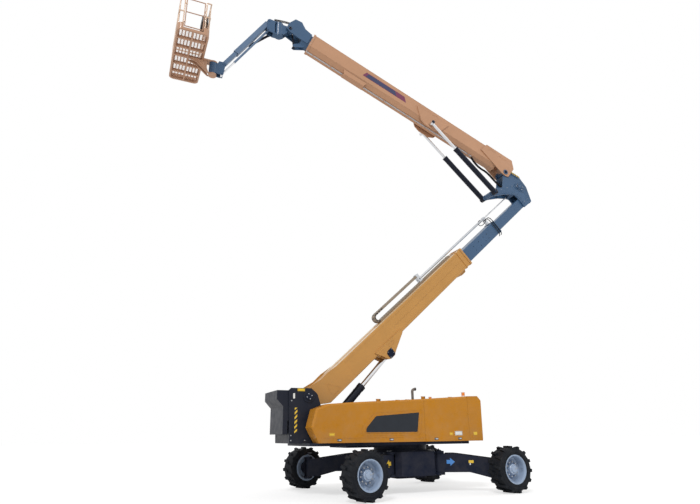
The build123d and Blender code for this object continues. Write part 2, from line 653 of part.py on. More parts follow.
# ---------------------------------------------------------------- knuckle
KNUCKLE_Y = LOWER_INNER[0] + 20
KNUCKLE_EDGE = LOWER_INNER[0] + 40
with BuildPart() as knuckle_frame:
    cheek = [(11000, -525), (11460, -545), (11720, -20), (11745, 420), (11690, 640), (11560, 800),
             (11430, 930), (11190, 930), (10960, 740), (10720, 570), (10480, 720), (10120, 755),
             (10030, 690), (10060, 590), (10600, 330), (10980, 60), (11000, -100)]
    for y in (-KNUCKLE_Y, KNUCKLE_Y):
        plate(LOWER, cheek, y, 40)
        crossbar(LOWER, *UPPER_PIVOT, 125, 20, y=y)
        crossbar(LOWER, *UPPER_BASE, 100, 20, y=y)
    crossbar(LOWER, *UPPER_PIVOT, UPPER_PIN_R, 262)
    for y in (-256, 256):
        crossbar(LOWER, *UPPER_PIVOT, 95, 6, y=y)
    crossbar(LOWER, 10560, 500, 60, KNUCKLE_EDGE)
    crossbar(LOWER, 11400, 160, 75, KNUCKLE_EDGE + 10)
    crossbar(LOWER, *UPPER_BASE, 80, 245)
    crossbar(LOWER, *UPPER_BASE, 45, 455)
    with BuildSketch(LOWER):
        with Locations((10985, 160)):
            Rectangle(30, 200)
        with Locations((11370, -320)):
            Rectangle(38, 470)
        with BuildLine():
            Polyline((11460, -545), (11720, -20), (11745, 420), (11690, 640), (11665, 632), (11719, 420),
                     (11694, -15), (11435, -532), close=True)
        make_face()
    extrude(amount=KNUCKLE_EDGE, both=True)
save(knuckle_frame, "knuckle_frame")

with BuildPart() as slide_tube:
    rod_along(LOWER, 5560, 10970, 22, up=CARRIER_N)
save(slide_tube, "hose_slide_tube")

# ---------------------------------------------------------------- upper lift cylinders, a pair
upper_eye = point_on(UPPER, *UPPER_EYE)
upper_base = point_on(LOWER, *UPPER_BASE)
upper_length, upper_angle = span(upper_base, upper_eye)
TWIN = arm(upper_base, upper_angle, leans_left=True)
TWIN_TUBE_R, TWIN_ROD_R, TWIN_EYE_R = 92, 48, 66
TWIN_IN, TWIN_OUT = 1166, 838  # stroke from this pose to closed and to open
PISTON = 28
twin_end = upper_length - TWIN_IN - TWIN_EYE_R - CLEAR
twin_piston = twin_end - 26 - TWIN_OUT - PISTON
with BuildPart() as twin_tubes:
    for y in (-TWIN_Y, TWIN_Y):
        crossbar(TWIN, 0, 0, 92, 78, y=y)
        rod_along(TWIN, 50, twin_end, TWIN_TUBE_R, y=y)
        rod_along(TWIN, twin_end - 90, twin_end, TWIN_TUBE_R + 6, y=y)
        rod_along(TWIN, twin_piston - TWIN_IN - 2, twin_end - 26, 72, y=y, mode=Mode.SUBTRACT)
        rod_along(TWIN, twin_end - 40, twin_end, TWIN_ROD_R + FIT, y=y, mode=Mode.SUBTRACT)
        crossbar(TWIN, 0, 0, 45 + FIT, 90, y=y, mode=Mode.SUBTRACT)
save(twin_tubes, "upper_lift_tubes")
with BuildPart() as twin_rods:
    for y in (-TWIN_Y, TWIN_Y):
        rod_along(TWIN, twin_piston, upper_length - 40, TWIN_ROD_R, y=y)
        rod_along(TWIN, twin_piston, twin_piston + PISTON - 2, 70, y=y)
        crossbar(TWIN, upper_length, 0, TWIN_EYE_R, 93, y=y)
save(twin_rods, "upper_lift_rods")

# ---------------------------------------------------------------- upper boom


def keel_section(plane, start, end, half, low, side_low, top, wall, bevel=40):
    """Box tube whose lower corners slope in to a narrow keel."""
    def outline(inset):
        flat = inset * tan(radians(26))
        cut = max(bevel - 0.6 * inset, 8)
        return [(-half + inset, side_low + flat), (-half + inset, top - inset - cut),
                (-half + inset + cut, top - inset), (half - inset - cut, top - inset),
                (half - inset, top - inset - cut), (half - inset, side_low + flat),
                (half / 2 - flat, low + inset), (-half / 2 + flat, low + inset)]
    with BuildSketch(across(plane, start)) as section:
        for inset, mode in ((0, Mode.ADD), (wall, Mode.SUBTRACT)):
            with BuildLine():
                Polyline(*outline(inset), close=True)
            make_face(mode=mode)
    extrude(section.sketch, amount=end - start)


UPPER_INNER = (160, 20, 130, 590)
LEVEL_PIN_R, LEVEL_ROD_R, LEVEL_TUBE_END, LEVEL_PISTON = 25, 16, 470, 175
with BuildPart() as upper_outer:
    keel_section(UPPER, 450, UPPER_END, UPPER_HALF, UPPER_LOW, UPPER_SIDE_LOW, UPPER_TOP, UPPER_WALL)
    for y in (-UPPER_HALF - 15, UPPER_HALF + 15):
        plate(UPPER, [(1230, 300), (1060, 655), (-130, 655), (-300, 340),
                      (-170, -110), (-60, -150), (90, -140)],
              y, 30, hole=(0, 0, UPPER_PIN_R + FIT))
        plate(UPPER, [(2750, 420), (2980, -40), (3180, -150), (3600, -150), (3820, -60), (4150, 420)], y, 30)
    with BuildSketch(across(UPPER, -100)):
        with Locations((0, 640)):
            Rectangle(2 * UPPER_HALF, 20)
    extrude(amount=600)
    with BuildSketch(across(UPPER, 450)):
        with Locations((0, 350)):
            Rectangle(2 * UPPER_HALF - 20, 520)
    extrude(amount=20)
    # wear pads for the inner section at the open end
    keel_section(UPPER, UPPER_END - 120, UPPER_END, UPPER_INNER[0] + SEAT + 44, UPPER_INNER[1] - SEAT - 44,
                 UPPER_INNER[2] - SEAT - 23, UPPER_INNER[3] + SEAT + 44, 44)
    keel_section(UPPER, UPPER_END - 70, UPPER_END, UPPER_HALF + 14, UPPER_LOW - 14, UPPER_SIDE_LOW - 6,
                 UPPER_TOP + 14, 14)
save(upper_outer, "upper_boom_outer")

with BuildPart() as upper_inner:
    keel_section(UPPER, UPPER_INNER_START, UPPER_INNER_END, *UPPER_INNER, 10)
    for y in (-UPPER_INNER[0] - 12, UPPER_INNER[0] + 12):
        plate(UPPER, [(8560, 130), (8560, 580), (8850, 640), (9070, 820), (9300, 780),
                      (9420, 480), (9420, 220), (9300, 180), (8900, 130)], y, 24)
        crossbar(UPPER, *HEAD_PIVOT, 80, 12, y=y)
    crossbar(UPPER, *HEAD_PIVOT, 40, 190)
    crossbar(UPPER, 9100, 660, 50, 160)
    for y in (-75, 75):
        plate(UPPER, [(8560, 30), (8795, 30), (LEVEL_BASE[0] + 50, LEVEL_BASE[1] + 40),
                      (LEVEL_BASE[0] + 50, LEVEL_BASE[1] - 30),
                      (LEVEL_BASE[0] - 30, LEVEL_BASE[1] - 45)], y, 20)
    crossbar(UPPER, *LEVEL_BASE, LEVEL_PIN_R, 85)
save(upper_inner, "upper_boom_inner")

# ---------------------------------------------------------------- levelling bracket and its cylinder
ROTOR_X, ROTOR_LOW, ROTOR_TOP = -4000, 14205, 14645  # jib's swing actuator
head_pivot = point_on(UPPER, *HEAD_PIVOT)
level_base = point_on(UPPER, *LEVEL_BASE)
LEVEL_EYE = (head_pivot[0] + LEVEL_CRANK[0], head_pivot[1] + LEVEL_CRANK[1])
with BuildPart() as head_bracket:
    for y in (-110, 110):
        plate(side(), [(LEVEL_EYE[0] + 45, LEVEL_EYE[1] + 10), (LEVEL_EYE[0] - 10, LEVEL_EYE[1] + 50),
                       (head_pivot[0] - 40, head_pivot[1] + 90), (ROTOR_X, ROTOR_TOP - 25),
                       (ROTOR_X, ROTOR_LOW + 15), (ROTOR_X + 150, ROTOR_LOW + 15),
                       (head_pivot[0] - 20, head_pivot[1] - 80), (head_pivot[0] + 70, head_pivot[1] - 50),
                       (LEVEL_EYE[0] + 40, LEVEL_EYE[1] - 30)], y, 24)
        crossbar(side(), *head_pivot, 75, 12, y=y)
    with BuildSketch(level(ROTOR_LOW + SEAT, ROTOR_X)):
        Circle(140)
    extrude(amount=ROTOR_TOP - ROTOR_LOW - 2 * SEAT)
    crossbar(side(), *head_pivot, 40 + FIT, 200, mode=Mode.SUBTRACT)
    for y in (-115, 115):
        crossbar(side(), *LEVEL_EYE, 26, 15, y=y)
save(head_bracket, "head_bracket")

level_length, level_angle = span(level_base, LEVEL_EYE)
LEVELLER = arm(level_base, level_angle, leans_left=True)
with BuildPart() as level_tube:
    crossbar(LEVELLER, 0, 0, 40, 55)
    rod_along(LEVELLER, 30, LEVEL_TUBE_END, 31)
    rod_along(LEVELLER, 38, LEVEL_TUBE_END - 25, 25, mode=Mode.SUBTRACT)
    rod_along(LEVELLER, LEVEL_TUBE_END - 30, LEVEL_TUBE_END, LEVEL_ROD_R + FIT, mode=Mode.SUBTRACT)
    crossbar(LEVELLER, 0, 0, LEVEL_PIN_R + FIT, 60, mode=Mode.SUBTRACT)
save(level_tube, "level_cylinder_tube")
with BuildPart() as level_rod:
    rod_along(LEVELLER, LEVEL_PISTON, level_length, LEVEL_ROD_R)
    crossbar(LEVELLER, level_length, 0, 26, 60)
    rod_along(LEVELLER, LEVEL_PISTON, LEVEL_PISTON + 20, 24)
save(level_rod, "level_cylinder_rod")

# ---------------------------------------------------------------- jib
JIB_LOW = (JIB_PIVOT[0] + JIB_LINK[0], JIB_PIVOT[1] + JIB_LINK[1])
LINK = arm(JIB_LOW, JIB_ANGLE, leans_left=True)
JIB_PIN_R, LINK_PIN_R, JIB_CYL_PIN_R = 32, 25, 22
JIB_CYL_Y = 175
jib_cyl_base = (JIB_LOW[0] + 90, JIB_LOW[1] - 10)
with BuildPart() as jib_base:
    for z in (ROTOR_TOP, ROTOR_LOW - 35):
        with BuildSketch(level(z, ROTOR_X)):
            Circle(140)
            with Locations((-110, 0)):
                Rectangle(220, 230)
        extrude(amount=35)
    with BuildSketch(level(ROTOR_LOW - 35, ROTOR_X - 185)):
        Rectangle(30, 230)
    extrude(amount=ROTOR_TOP - ROTOR_LOW + 70)
    for y in (-105, 105):
        plate(side(), [(ROTOR_X - 170, ROTOR_LOW - 35), (ROTOR_X - 170, ROTOR_TOP + 35),
                       (JIB_PIVOT[0] + 20, JIB_PIVOT[1] + 80), (JIB_PIVOT[0] - 60, JIB_PIVOT[1] + 30),
                       (JIB_LOW[0] - 50, JIB_LOW[1] - 20), (JIB_LOW[0] + 20, JIB_LOW[1] - 70)], y, 20)
    crossbar(side(), *JIB_PIVOT, JIB_PIN_R, 125)
    crossbar(side(), *JIB_LOW, LINK_PIN_R, 125)
    crossbar(side(), *jib_cyl_base, JIB_CYL_PIN_R, 55, y=155)
save(jib_base, "jib_base")

JIB_HALF, JIB_INNER_HALF = 85, 65
with BuildPart() as jib_outer:
    box_section(JIB, 90, JIB_SPLIT, JIB_HALF, -JIB_HALF, JIB_HALF, 8, corner=15)
    crossbar(JIB, 0, 0, 60, 85)
    with BuildSketch(across(JIB, 30)):
        Rectangle(2 * JIB_HALF - 10, 110)
    extrude(amount=70)
    crossbar(JIB, 0, 0, JIB_PIN_R + FIT, 95, mode=Mode.SUBTRACT)
    pads(JIB, JIB_SPLIT - 60, JIB_SPLIT, (JIB_INNER_HALF, -JIB_INNER_HALF, JIB_INNER_HALF),
         (JIB_HALF - 8, 8 - JIB_HALF, JIB_HALF - 8))
    plate(JIB, [(1330, 40), (1470, 40), (1440, -50), (1360, -50)], JIB_HALF + 30, 64)
save(jib_outer, "jib_outer")
with BuildPart() as jib_inner:
    box_section(JIB, 150, JIB_END - 90, JIB_INNER_HALF, -JIB_INNER_HALF, JIB_INNER_HALF, 8, corner=12)
    crossbar(JIB, JIB_END, 0, 55, 65)
    with BuildSketch(across(JIB, JIB_END - 100)):
        Rectangle(120, 100)
    extrude(amount=75)
    crossbar(JIB, JIB_END, 0, JIB_PIN_R + FIT, 70, mode=Mode.SUBTRACT)
save(jib_inner, "jib_inner")

with BuildPart() as link_outer:
    rod_along(LINK, 35, JIB_SPLIT, 36, bore=28)
    rod_along(LINK, 30, 120, 36)
    crossbar(LINK, 0, 0, 42, 60)
    crossbar(LINK, 0, 0, LINK_PIN_R + FIT, 65, mode=Mode.SUBTRACT)
save(link_outer, "jib_link_outer")
with BuildPart() as link_inner:
    rod_along(LINK, 150, JIB_END - 30, 28 - FIT)
    crossbar(LINK, JIB_END, 0, 42, 60)
    crossbar(LINK, JIB_END, 0, LINK_PIN_R + FIT, 65, mode=Mode.SUBTRACT)
save(link_inner, "jib_link_inner")

jib_cyl_eye = point_on(JIB, 1400, 0)
jib_cyl_length, jib_cyl_angle = span(jib_cyl_base, jib_cyl_eye)
JIB_CYL = arm(jib_cyl_base, jib_cyl_angle, leans_left=True)
with BuildPart() as jib_tube:
    crossbar(JIB_CYL, 0, 0, 42, 30, y=JIB_CYL_Y)
    rod_along(JIB_CYL, 25, 930, 40, y=JIB_CYL_Y)
    rod_along(JIB_CYL, 60, 890, 31, y=JIB_CYL_Y, mode=Mode.SUBTRACT)
    rod_along(JIB_CYL, 880, 930, 22 + FIT, y=JIB_CYL_Y, mode=Mode.SUBTRACT)
    crossbar(JIB_CYL, 0, 0, JIB_CYL_PIN_R + FIT, 35, y=JIB_CYL_Y, mode=Mode.SUBTRACT)
save(jib_tube, "jib_cylinder_tube")
with BuildPart() as jib_rod:
    rod_along(JIB_CYL, 120, jib_cyl_length - 20, 22, y=JIB_CYL_Y)
    crossbar(JIB_CYL, jib_cyl_length, 0, 40, 14, y=JIB_CYL_Y)
save(jib_rod, "jib_cylinder_rod")

# ---------------------------------------------------------------- platform
TURN_X = -6050  # platform's turning axis
BEARING_LOW, BEARING_TOP, BEARING_THICK = 12030, 12430, 45
FLOOR_FRAME = 80
GATE_HALF = 270
jib_tip = point_on(JIB, JIB_END, 0)
link_tip = point_on(LINK, JIB_END, 0)
with BuildPart() as mount:
    for y in (-90, 90):
        plate(side(), [(-5690, 12510), (-5690, 12400), (-5730, 12050), (-5850, 12040), (TURN_X, 12060),
                       (TURN_X, 12400), (-5925, 12420), (-5885, 12510)], y, 20)
    with BuildSketch(level(BEARING_LOW + SEAT, TURN_X)):
        Circle(120)
    extrude(amount=BEARING_TOP - BEARING_LOW - 2 * SEAT)
    crossbar(side(), *jib_tip, JIB_PIN_R, 110)
    crossbar(side(), *link_tip, LINK_PIN_R, 110)
save(mount, "platform_mount")

x_low, x_high = PLATFORM_X
floor_low = PLATFORM_FLOOR - FLOOR_FRAME
middle_x = (x_low + x_high) / 2
POST_FOOT = PLATFORM_FLOOR - 5
with BuildPart() as platform_floor:
    with BuildSketch(level(floor_low, middle_x)):
        RectangleRounded(x_high - x_low, 2 * PLATFORM_HALF, 140)
        RectangleRounded(x_high - x_low - 100, 2 * PLATFORM_HALF - 100, 90, mode=Mode.SUBTRACT)
        with GridLocations(0, 400, 1, 5):
            Rectangle(x_high - x_low - 60, 50)
        Rectangle(50, 2 * PLATFORM_HALF - 60)
    extrude(amount=POST_FOOT - floor_low)
    # open deck between the beams
    with BuildSketch(level(POST_FOOT, middle_x)):
        RectangleRounded(x_high - x_low - 88, 2 * PLATFORM_HALF - 88, 96)
        for y in (-990, -600, -200, 200, 600, 990):
            with Locations((0, y)):
                with Locations(*[(side_sign * (60 + 92 * k), 0) for side_sign in (-1, 1) for k in range(4)]):
                    Rectangle(62, 300, mode=Mode.SUBTRACT)
    extrude(amount=5)
    # toe boards, open at the gate
    with BuildSketch(level(POST_FOOT, middle_x)):
        RectangleRounded(x_high - x_low, 2 * PLATFORM_HALF, 140)
        RectangleRounded(x_high - x_low - 8, 2 * PLATFORM_HALF - 8, 136, mode=Mode.SUBTRACT)
        with Locations((0, -PLATFORM_HALF)):
            Rectangle(2 * GATE_HALF + 20, 60, mode=Mode.SUBTRACT)
    extrude(amount=155)
save(platform_floor, "platform_floor")

with BuildPart() as support:
    for y in (-70, 70):
        plate(side(), [(TURN_X, 11985), (TURN_X, 12030), (TURN_X - 140, 12030), (TURN_X - 190, 12180),
                       (TURN_X - 200, BEARING_TOP + 10), (x_high, BEARING_TOP + 10), (x_high, floor_low),
                       (middle_x, floor_low), (middle_x, floor_low - 40),
                       (-6560, 12290), (-6400, 12150), (-6250, 12020), (-6200, 11985)], y, 24)
    for z in (BEARING_LOW - BEARING_THICK, BEARING_TOP):
        with BuildSketch(level(z, TURN_X)):
            Circle(125)
        extrude(amount=BEARING_THICK)
    with BuildSketch(level(BEARING_TOP, (TURN_X + x_high) / 2)):
        Rectangle(TURN_X - x_high, 230)
    extrude(amount=BEARING_THICK)
save(support, "platform_support")

RAIL_R = 19
inset = 4 + RAIL_R
rail_xs = (x_low + inset, x_high - inset)
rail_ys = (-PLATFORM_HALF + inset, PLATFORM_HALF - inset)
GATE_BAR_R = 15
GATE_HINGE_X, GATE_LATCH_X = middle_x - GATE_HALF + 12, middle_x + GATE_HALF - 12
with BuildPart() as rails:
    for z in (PLATFORM_FLOOR + PLATFORM_RAIL - RAIL_R, PLATFORM_FLOOR + 570):
        for x in rail_xs:
            bar((x, rail_ys[0], z), (x, rail_ys[1], z), RAIL_R)
        bar((rail_xs[0], rail_ys[1], z), (rail_xs[1], rail_ys[1], z), RAIL_R)
    for x in rail_xs:
        inner_x = middle_x + (x - middle_x) * (GATE_HALF + 2 * RAIL_R) / (rail_xs[1] - middle_x)
        for z in (PLATFORM_FLOOR + PLATFORM_RAIL - RAIL_R, PLATFORM_FLOOR + 570):
            bar((x, rail_ys[0], z), (inner_x, rail_ys[0], z), RAIL_R)
        bar((inner_x, rail_ys[0], POST_FOOT),
            (inner_x, rail_ys[0], PLATFORM_FLOOR + PLATFORM_RAIL - RAIL_R), RAIL_R)
        for y in (rail_ys[0] + 140, -400, 400, rail_ys[1] - 140):
            bar((x, y, POST_FOOT), (x, y, PLATFORM_FLOOR + PLATFORM_RAIL - RAIL_R), RAIL_R)
    # gate's hinge eyes and its latch stop
    for z in (PLATFORM_FLOOR + 200, PLATFORM_FLOOR + 850):
        with BuildSketch(level(z, GATE_HINGE_X, rail_ys[0])):
            Circle(GATE_BAR_R + 9)
            with Locations((-25, 0)):
                Rectangle(50, 14)
            Circle(GATE_BAR_R + FIT, mode=Mode.SUBTRACT)
        extrude(amount=40)
    with BuildSketch(level(PLATFORM_FLOOR + 700, GATE_LATCH_X + GATE_BAR_R + SEAT + 10, rail_ys[0])):
        Rectangle(20, 24)
    extrude(amount=60)
save(rails, "platform_rails")

with BuildPart() as gate:
    low, high = PLATFORM_FLOOR + 60, PLATFORM_FLOOR + PLATFORM_RAIL - RAIL_R - 30
    for x in (GATE_HINGE_X, GATE_LATCH_X):
        bar((x, rail_ys[0], low), (x, rail_ys[0], high), GATE_BAR_R)
    for z in (low, PLATFORM_FLOOR + 570, high):
        bar((GATE_HINGE_X, rail_ys[0], z), (GATE_LATCH_X, rail_ys[0], z), GATE_BAR_R)
save(gate, "platform_gate")

with BuildPart() as control:
    with BuildSketch(level(PLATFORM_FLOOR + 780, x_high - 130, -500)):
        RectangleRounded(170, 500, 30)
    extrude(amount=230)
    # hook over the top rail
    with BuildSketch(level(PLATFORM_FLOOR + 800, x_high - 36, -500)):
        Rectangle(60, 60)
    extrude(amount=PLATFORM_RAIL - RAIL_R - 800)
    crossbar(side(), rail_xs[1], PLATFORM_FLOOR + PLATFORM_RAIL - RAIL_R, RAIL_R + SEAT, 40,
             y=-500, mode=Mode.SUBTRACT)
save(control, "control_box")
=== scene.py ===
"""Looks of the articulating boom lift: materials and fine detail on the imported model."""
import json
from math import atan2, cos, pi, radians, sin

import bmesh
import bpy
from mathutils import Matrix, Vector


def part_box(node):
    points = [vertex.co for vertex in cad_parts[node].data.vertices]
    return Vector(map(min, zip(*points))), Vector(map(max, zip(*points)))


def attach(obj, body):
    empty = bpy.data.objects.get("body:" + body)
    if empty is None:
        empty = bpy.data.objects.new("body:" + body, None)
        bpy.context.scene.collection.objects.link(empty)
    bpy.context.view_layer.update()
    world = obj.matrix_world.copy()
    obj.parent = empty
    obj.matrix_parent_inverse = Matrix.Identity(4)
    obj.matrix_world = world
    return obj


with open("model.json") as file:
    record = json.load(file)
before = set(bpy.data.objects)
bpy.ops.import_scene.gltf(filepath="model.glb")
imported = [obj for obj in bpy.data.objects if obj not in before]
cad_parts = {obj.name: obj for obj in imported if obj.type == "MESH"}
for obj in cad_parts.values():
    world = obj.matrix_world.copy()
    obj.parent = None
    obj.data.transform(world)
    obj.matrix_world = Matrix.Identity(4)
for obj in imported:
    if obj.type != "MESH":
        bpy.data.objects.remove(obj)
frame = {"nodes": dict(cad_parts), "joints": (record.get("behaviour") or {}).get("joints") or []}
nodes = frame["nodes"]
joints = {joint["name"]: joint for joint in frame["joints"]}
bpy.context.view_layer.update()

UP = Vector((0, 0, 1))
ACROSS = Vector((0, 1, 0))
CORNERS = ("near_front", "far_front", "near_rear", "far_rear")
FLANKS = (("near", -1), ("far", 1))  # name and sign of y

# faces of the solids that detail lies on, from the middle plane, and other shared sizes
HOOD_FACE = 1.245
RISER_FACE = 0.645
LOWER_FACE, LOWER_LUG_FACE, MID_FACE = 0.290, 0.318, 0.235
KNUCKLE_FACE = 0.255
UPPER_FACE, UPPER_LUG_FACE = 0.215, 0.245
JIB_FACE = 0.085
CHASSIS_TOP = 1.02
ARM_TOP, ARM_FLAT = 0.955, 0.43  # height of an axle arm's upper edge, and how far out it runs level
ARM_DROP, ARM_RUN = 0.145, 1.07  # how far the edge falls over the rest of its length
LIP_R = 0.350  # rolled lip of a rim
LABEL = 0.0012  # thickness of a plate or a stripe
HOSE_PITCH = 0.035


def pivot(name):
    """A joint's place in the row frame."""
    return Vector(joints[name]["pos_m"])


def travel(name):
    """A joint's axis as a unit vector."""
    return Vector(joints[name]["axis"]).normalized()


class Arm:
    """Frame of a boom: s along it, n square to it and upwards, y across the machine."""

    def __init__(self, hinge, slide):
        self.origin = pivot(hinge)
        self.along = travel(slide)
        self.up = self.along.cross(ACROSS)
        if self.up.z < 0:
            self.up.negate()

    def at(self, s, n=0.0, y=0.0):
        return self.origin + s * self.along + n * self.up + y * ACROSS

    def flip(self, y_side):
        """Sign that turns n into the y of arm_side's plane on a flank."""
        return 1 if y_side * self.along.x < 0 else -1


LOWER = Arm("lower_lift", "lower_telescope")
UPPER = Arm("upper_lift", "upper_telescope")
JIB = Arm("jib_lift", "jib_telescope")
SLEW = pivot("slew")


# ---------------- materials
class Nodes:
    """Short-hand for building a node tree."""

    def __init__(self, name):
        self.material = bpy.data.materials.new(name)
        self.material.use_nodes = True
        self.tree = self.material.node_tree
        self.shader = self.tree.nodes["Principled BSDF"]

    def add(self, kind, inputs=None, **settings):
        node = self.tree.nodes.new("ShaderNode" + kind)
        for key, value in settings.items():
            setattr(node, key, value)
        for key, value in (inputs or {}).items():
            self.feed(node.inputs[key], value)
        return node

    def feed(self, socket, value):
        """Links another node's output to a socket, or sets a plain value."""
        if isinstance(value, bpy.types.NodeSocket):
            self.tree.links.new(value, socket)
        else:
            socket.default_value = value

    def link(self, output, socket):
        self.tree.links.new(output, self.shader.inputs[socket])

    def put(self, **values):
        """Plain values of the shader, an underscore for each space in a name."""
        for socket, value in values.items():
            self.shader.inputs[socket.replace("_", " ")].default_value = value

    def noise(self, scale, detail=4.0, rough=0.6, stretch=(1, 1, 1)):
        """Noise in metres: scale is the number of blobs to the metre."""
        where = self.add("TexCoord")
        mapped = self.add("Mapping", {"Vector": where.outputs["Object"], "Scale": stretch})
        return self.add("TexNoise", {"Vector": mapped.outputs[0], "Scale": scale, "Detail": detail,
                                               "Roughness": rough}).outputs["Fac"]

    def ramp(self, value, low, high, start=0.0, end=1.0):
        """value from low..high mapped to start..end and held there."""
        span = {"From Min": low, "From Max": high, "To Min": start, "To Max": end}
        return self.add("MapRange", {"Value": value, **span}).outputs[0]

    def mix(self, factor, first, second):
        node = self.add("Mix", data_type="RGBA")
        for slot, value in ((0, factor), (6, first), (7, second)):
            self.feed(node.inputs[slot], (*value, 1.0) if isinstance(value, tuple) else value)
        return node.outputs[2]

    def times(self, first, second):
        return self.add("Math", {0: first, 1: second}, operation="MULTIPLY").outputs[0]

    def edges(self, radius):
        """1 along sharp edges, 0 on flat faces."""
        bevel = self.add("Bevel", {"Radius": radius}, samples=4)
        normal = self.add("NewGeometry").outputs["Normal"]
        same = self.add("VectorMath", {0: bevel.outputs[0], 1: normal}, operation="DOT_PRODUCT")
        return self.ramp(same.outputs["Value"], 0.98, 0.85)

    def height(self, low, high):
        """1 near the ground, 0 from the height high upwards."""
        where = self.add("TexCoord").outputs["Object"]
        parts = self.add("SeparateXYZ", {0: where})
        return self.ramp(parts.outputs["Z"], high, low)

    def bump(self, value, distance, strength=1.0, normal=None):
        inputs = {"Height": value, "Distance": distance, "Strength": strength}
        if normal:
            inputs["Normal"] = normal
        self.link(self.add("Bump", inputs).outputs[0], "Normal")


def shade(colour, factor):
    """Colour made lighter or darker."""
    return tuple(channel * factor for channel in colour)


def paint(name, colour, rough=0.34, coat=0.35, dust=0.25, worn=0.35, round_edge=0.004, shine=0.3):
    """Sprayed paint: slight cloudiness, orange peel, dust lower down and rubbed edges."""
    m = Nodes(name)
    cloud = m.ramp(m.noise(1.3, 5), 0.3, 0.7)
    base = m.mix(cloud, shade(colour, 0.93), shade(colour, 1.06))
    speck = m.ramp(m.noise(9, 8, 0.75), 0.62, 0.76)
    base = m.mix(m.times(speck, 0.10), base, shade(colour, 0.72))
    grime = m.times(m.times(m.ramp(m.noise(3.2, 8, 0.7), 0.35, 0.65), m.height(0.3, 3.2)), dust)
    base = m.mix(grime, base, (0.36, 0.31, 0.25))
    rub = m.times(m.times(m.edges(0.006), m.ramp(m.noise(14, 6), 0.46, 0.6)), worn)
    base = m.mix(rub, base, tuple(0.55 * c + 0.30 for c in colour))
    m.link(base, "Base Color")
    m.link(m.ramp(m.noise(6, 6), 0.3, 0.7, rough - 0.06, rough + 0.10), "Roughness")
    m.put(Coat_Weight=coat, Coat_Roughness=0.12, Specular_IOR_Level=shine)
    rounded = m.add("Bevel", {"Radius": round_edge}, samples=4).outputs[0]
    m.bump(m.noise(160, 2), 0.0006, 0.25, rounded)
    return m.material


def metal(name, colour, rough, streak=(1, 1, 1), scratch=0.08):
    """Bare or plated metal with fine marks."""
    m = Nodes(name)
    m.put(Metallic=1.0)
    marks = m.noise(60, 6, 0.7, streak)
    m.link(m.mix(m.ramp(marks, 0.35, 0.65), shade(colour, 0.9), colour), "Base Color")
    m.link(m.ramp(marks, 0.3, 0.7, rough, rough + scratch), "Roughness")
    return m.material


def rubber(name, colour, dust=0.4):
    """Tyre rubber: matt, with pale dust that stays in the low spots."""
    m = Nodes(name)
    fine = m.noise(45, 8, 0.75)
    patch = m.ramp(m.noise(5, 6), 0.35, 0.7)
    base = m.mix(m.ramp(fine, 0.3, 0.7), shade(colour, 0.8), shade(colour, 1.25))
    base = m.mix(m.times(patch, dust), base, (0.20, 0.185, 0.165))
    m.link(base, "Base Color")
    m.link(m.ramp(fine, 0.3, 0.7, 0.62, 0.82), "Roughness")
    m.put(Specular_IOR_Level=0.15)
    m.bump(fine, 0.0015, 0.5)
    return m.material


def plastic(name, colour, rough=0.45, grain=220, depth=0.0004, shine=0.5):
    """Moulded plastic with a fine grain."""
    m = Nodes(name)
    m.put(Specular_IOR_Level=shine)
    fine = m.noise(grain, 3)
    m.link(m.mix(m.ramp(m.noise(4, 5), 0.3, 0.7), shade(colour, 0.88), shade(colour, 1.12)), "Base Color")
    m.link(m.ramp(m.noise(8, 5), 0.3, 0.7, rough - 0.06, rough + 0.08), "Roughness")
    m.bump(fine, depth, 0.4)
    return m.material


OCHRE = (0.48, 0.188, 0.002)
TAN = (0.49, 0.245, 0.062)
SLATE = (0.043, 0.097, 0.185)
PALE_SLATE = (0.11, 0.175, 0.28)
NAVY = (0.008, 0.012, 0.027)
CHARCOAL = (0.012, 0.015, 0.026)

